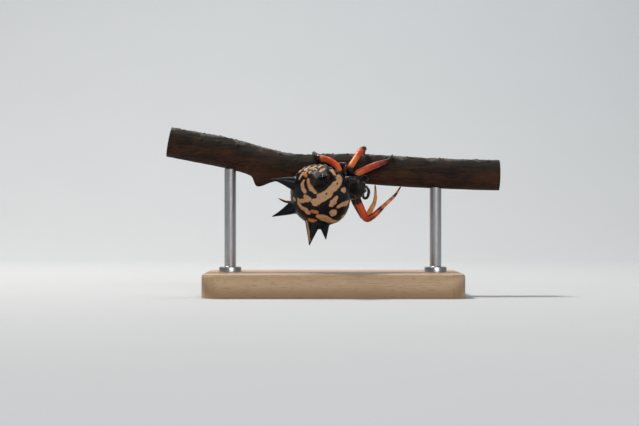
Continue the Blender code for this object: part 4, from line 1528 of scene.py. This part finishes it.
def floor_sweep():
    """One sheet: flat floor, a quarter round and an upright, with smooth faces toward the stand."""
    profile = [(SWEEP_NEAR, 0.0), (SWEEP_NEAR / 2.0, 0.0)]
    for step in range(BEND_STEPS + 1):
        turn = math.pi / 2.0 * step / BEND_STEPS
        profile.append((SWEEP_BEND + SWEEP_RADIUS * math.sin(turn), SWEEP_RADIUS * (1.0 - math.cos(turn))))
    profile.append((SWEEP_BEND + SWEEP_RADIUS, SWEEP_TOP))
    bm = bmesh.new()
    last = len(profile) - 1
    bmesh.ops.create_grid(bm, x_segments=2, y_segments=last, size=0.5)
    for vert in bm.verts:
        y, z = profile[round((vert.co.y + 0.5) * last)]
        vert.co = Vector((vert.co.x * 2.0 * SWEEP_HALF, y, z)) * MM
    mesh = bpy.data.meshes.new("floor")
    bm.to_mesh(mesh)
    bm.free()
    mesh.shade_smooth()
    sweep = bpy.data.objects.new("floor", mesh)
    bpy.context.scene.collection.objects.link(sweep)
    sweep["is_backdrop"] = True
    return sweep


def pale_floor():
    """Matt pale grey, faintly uneven."""
    made, tree, shader = finish("pale_floor", 0.9)
    mottle = speckle(tree, place(tree), 0.05, 2.0)
    wire(tree, shader, Base_Color=mix(tree, mottle, PALE_GREY, PALER_GREY))
    shader.inputs["Specular IOR Level"].default_value = 0.1
    return made


floor_sweep().data.materials.append(pale_floor())


def lamp(name, where, aim, size, power, colour):
    """A soft square lamp that points at a place. Places and size are in millimetres."""
    light = bpy.data.lights.new(name, "AREA")
    light.size = size * MM
    light.energy = power
    light.color = colour
    made = bpy.data.objects.new(name, light)
    bpy.context.scene.collection.objects.link(made)
    made.location = Vector(where) * MM
    made.rotation_euler = (Vector(aim) - Vector(where)).to_track_quat("-Z", "Y").to_euler()


SPIDER = (0.0, -1.0, 11.0)
SUN_WARM = (1.0, 0.94, 0.84)
lamp("sun_side", (-95.0, 65.0, 245.0), SPIDER, 44.0, 0.72, SUN_WARM)
lamp("sweep_light", (0.0, 150.0, 330.0), (0.0, 290.0, 80.0), 150.0, 0.4, (0.96, 0.98, 1.0))
lamp("front_fill", (70.0, -300.0, 150.0), SPIDER, 150.0, 0.45, (0.98, 0.98, 1.0))

world = bpy.data.worlds.new("dim_room")
bpy.context.scene.world = world
world.use_nodes = True
room = world.node_tree.nodes["Background"]
room.inputs["Color"].default_value = (0.92, 0.96, 1.0, 1.0)
room.inputs["Strength"].default_value = 0.2
bpy.context.scene.view_settings.view_transform = "Standard"


# The overall size before and after dressing, each as its low and its high corner in metres
size_lines = [[list(corner) for corner in box] for box in (CAD_BOX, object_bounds())]
"\n".join(json.dumps(line) for line in size_lines) + "\n"
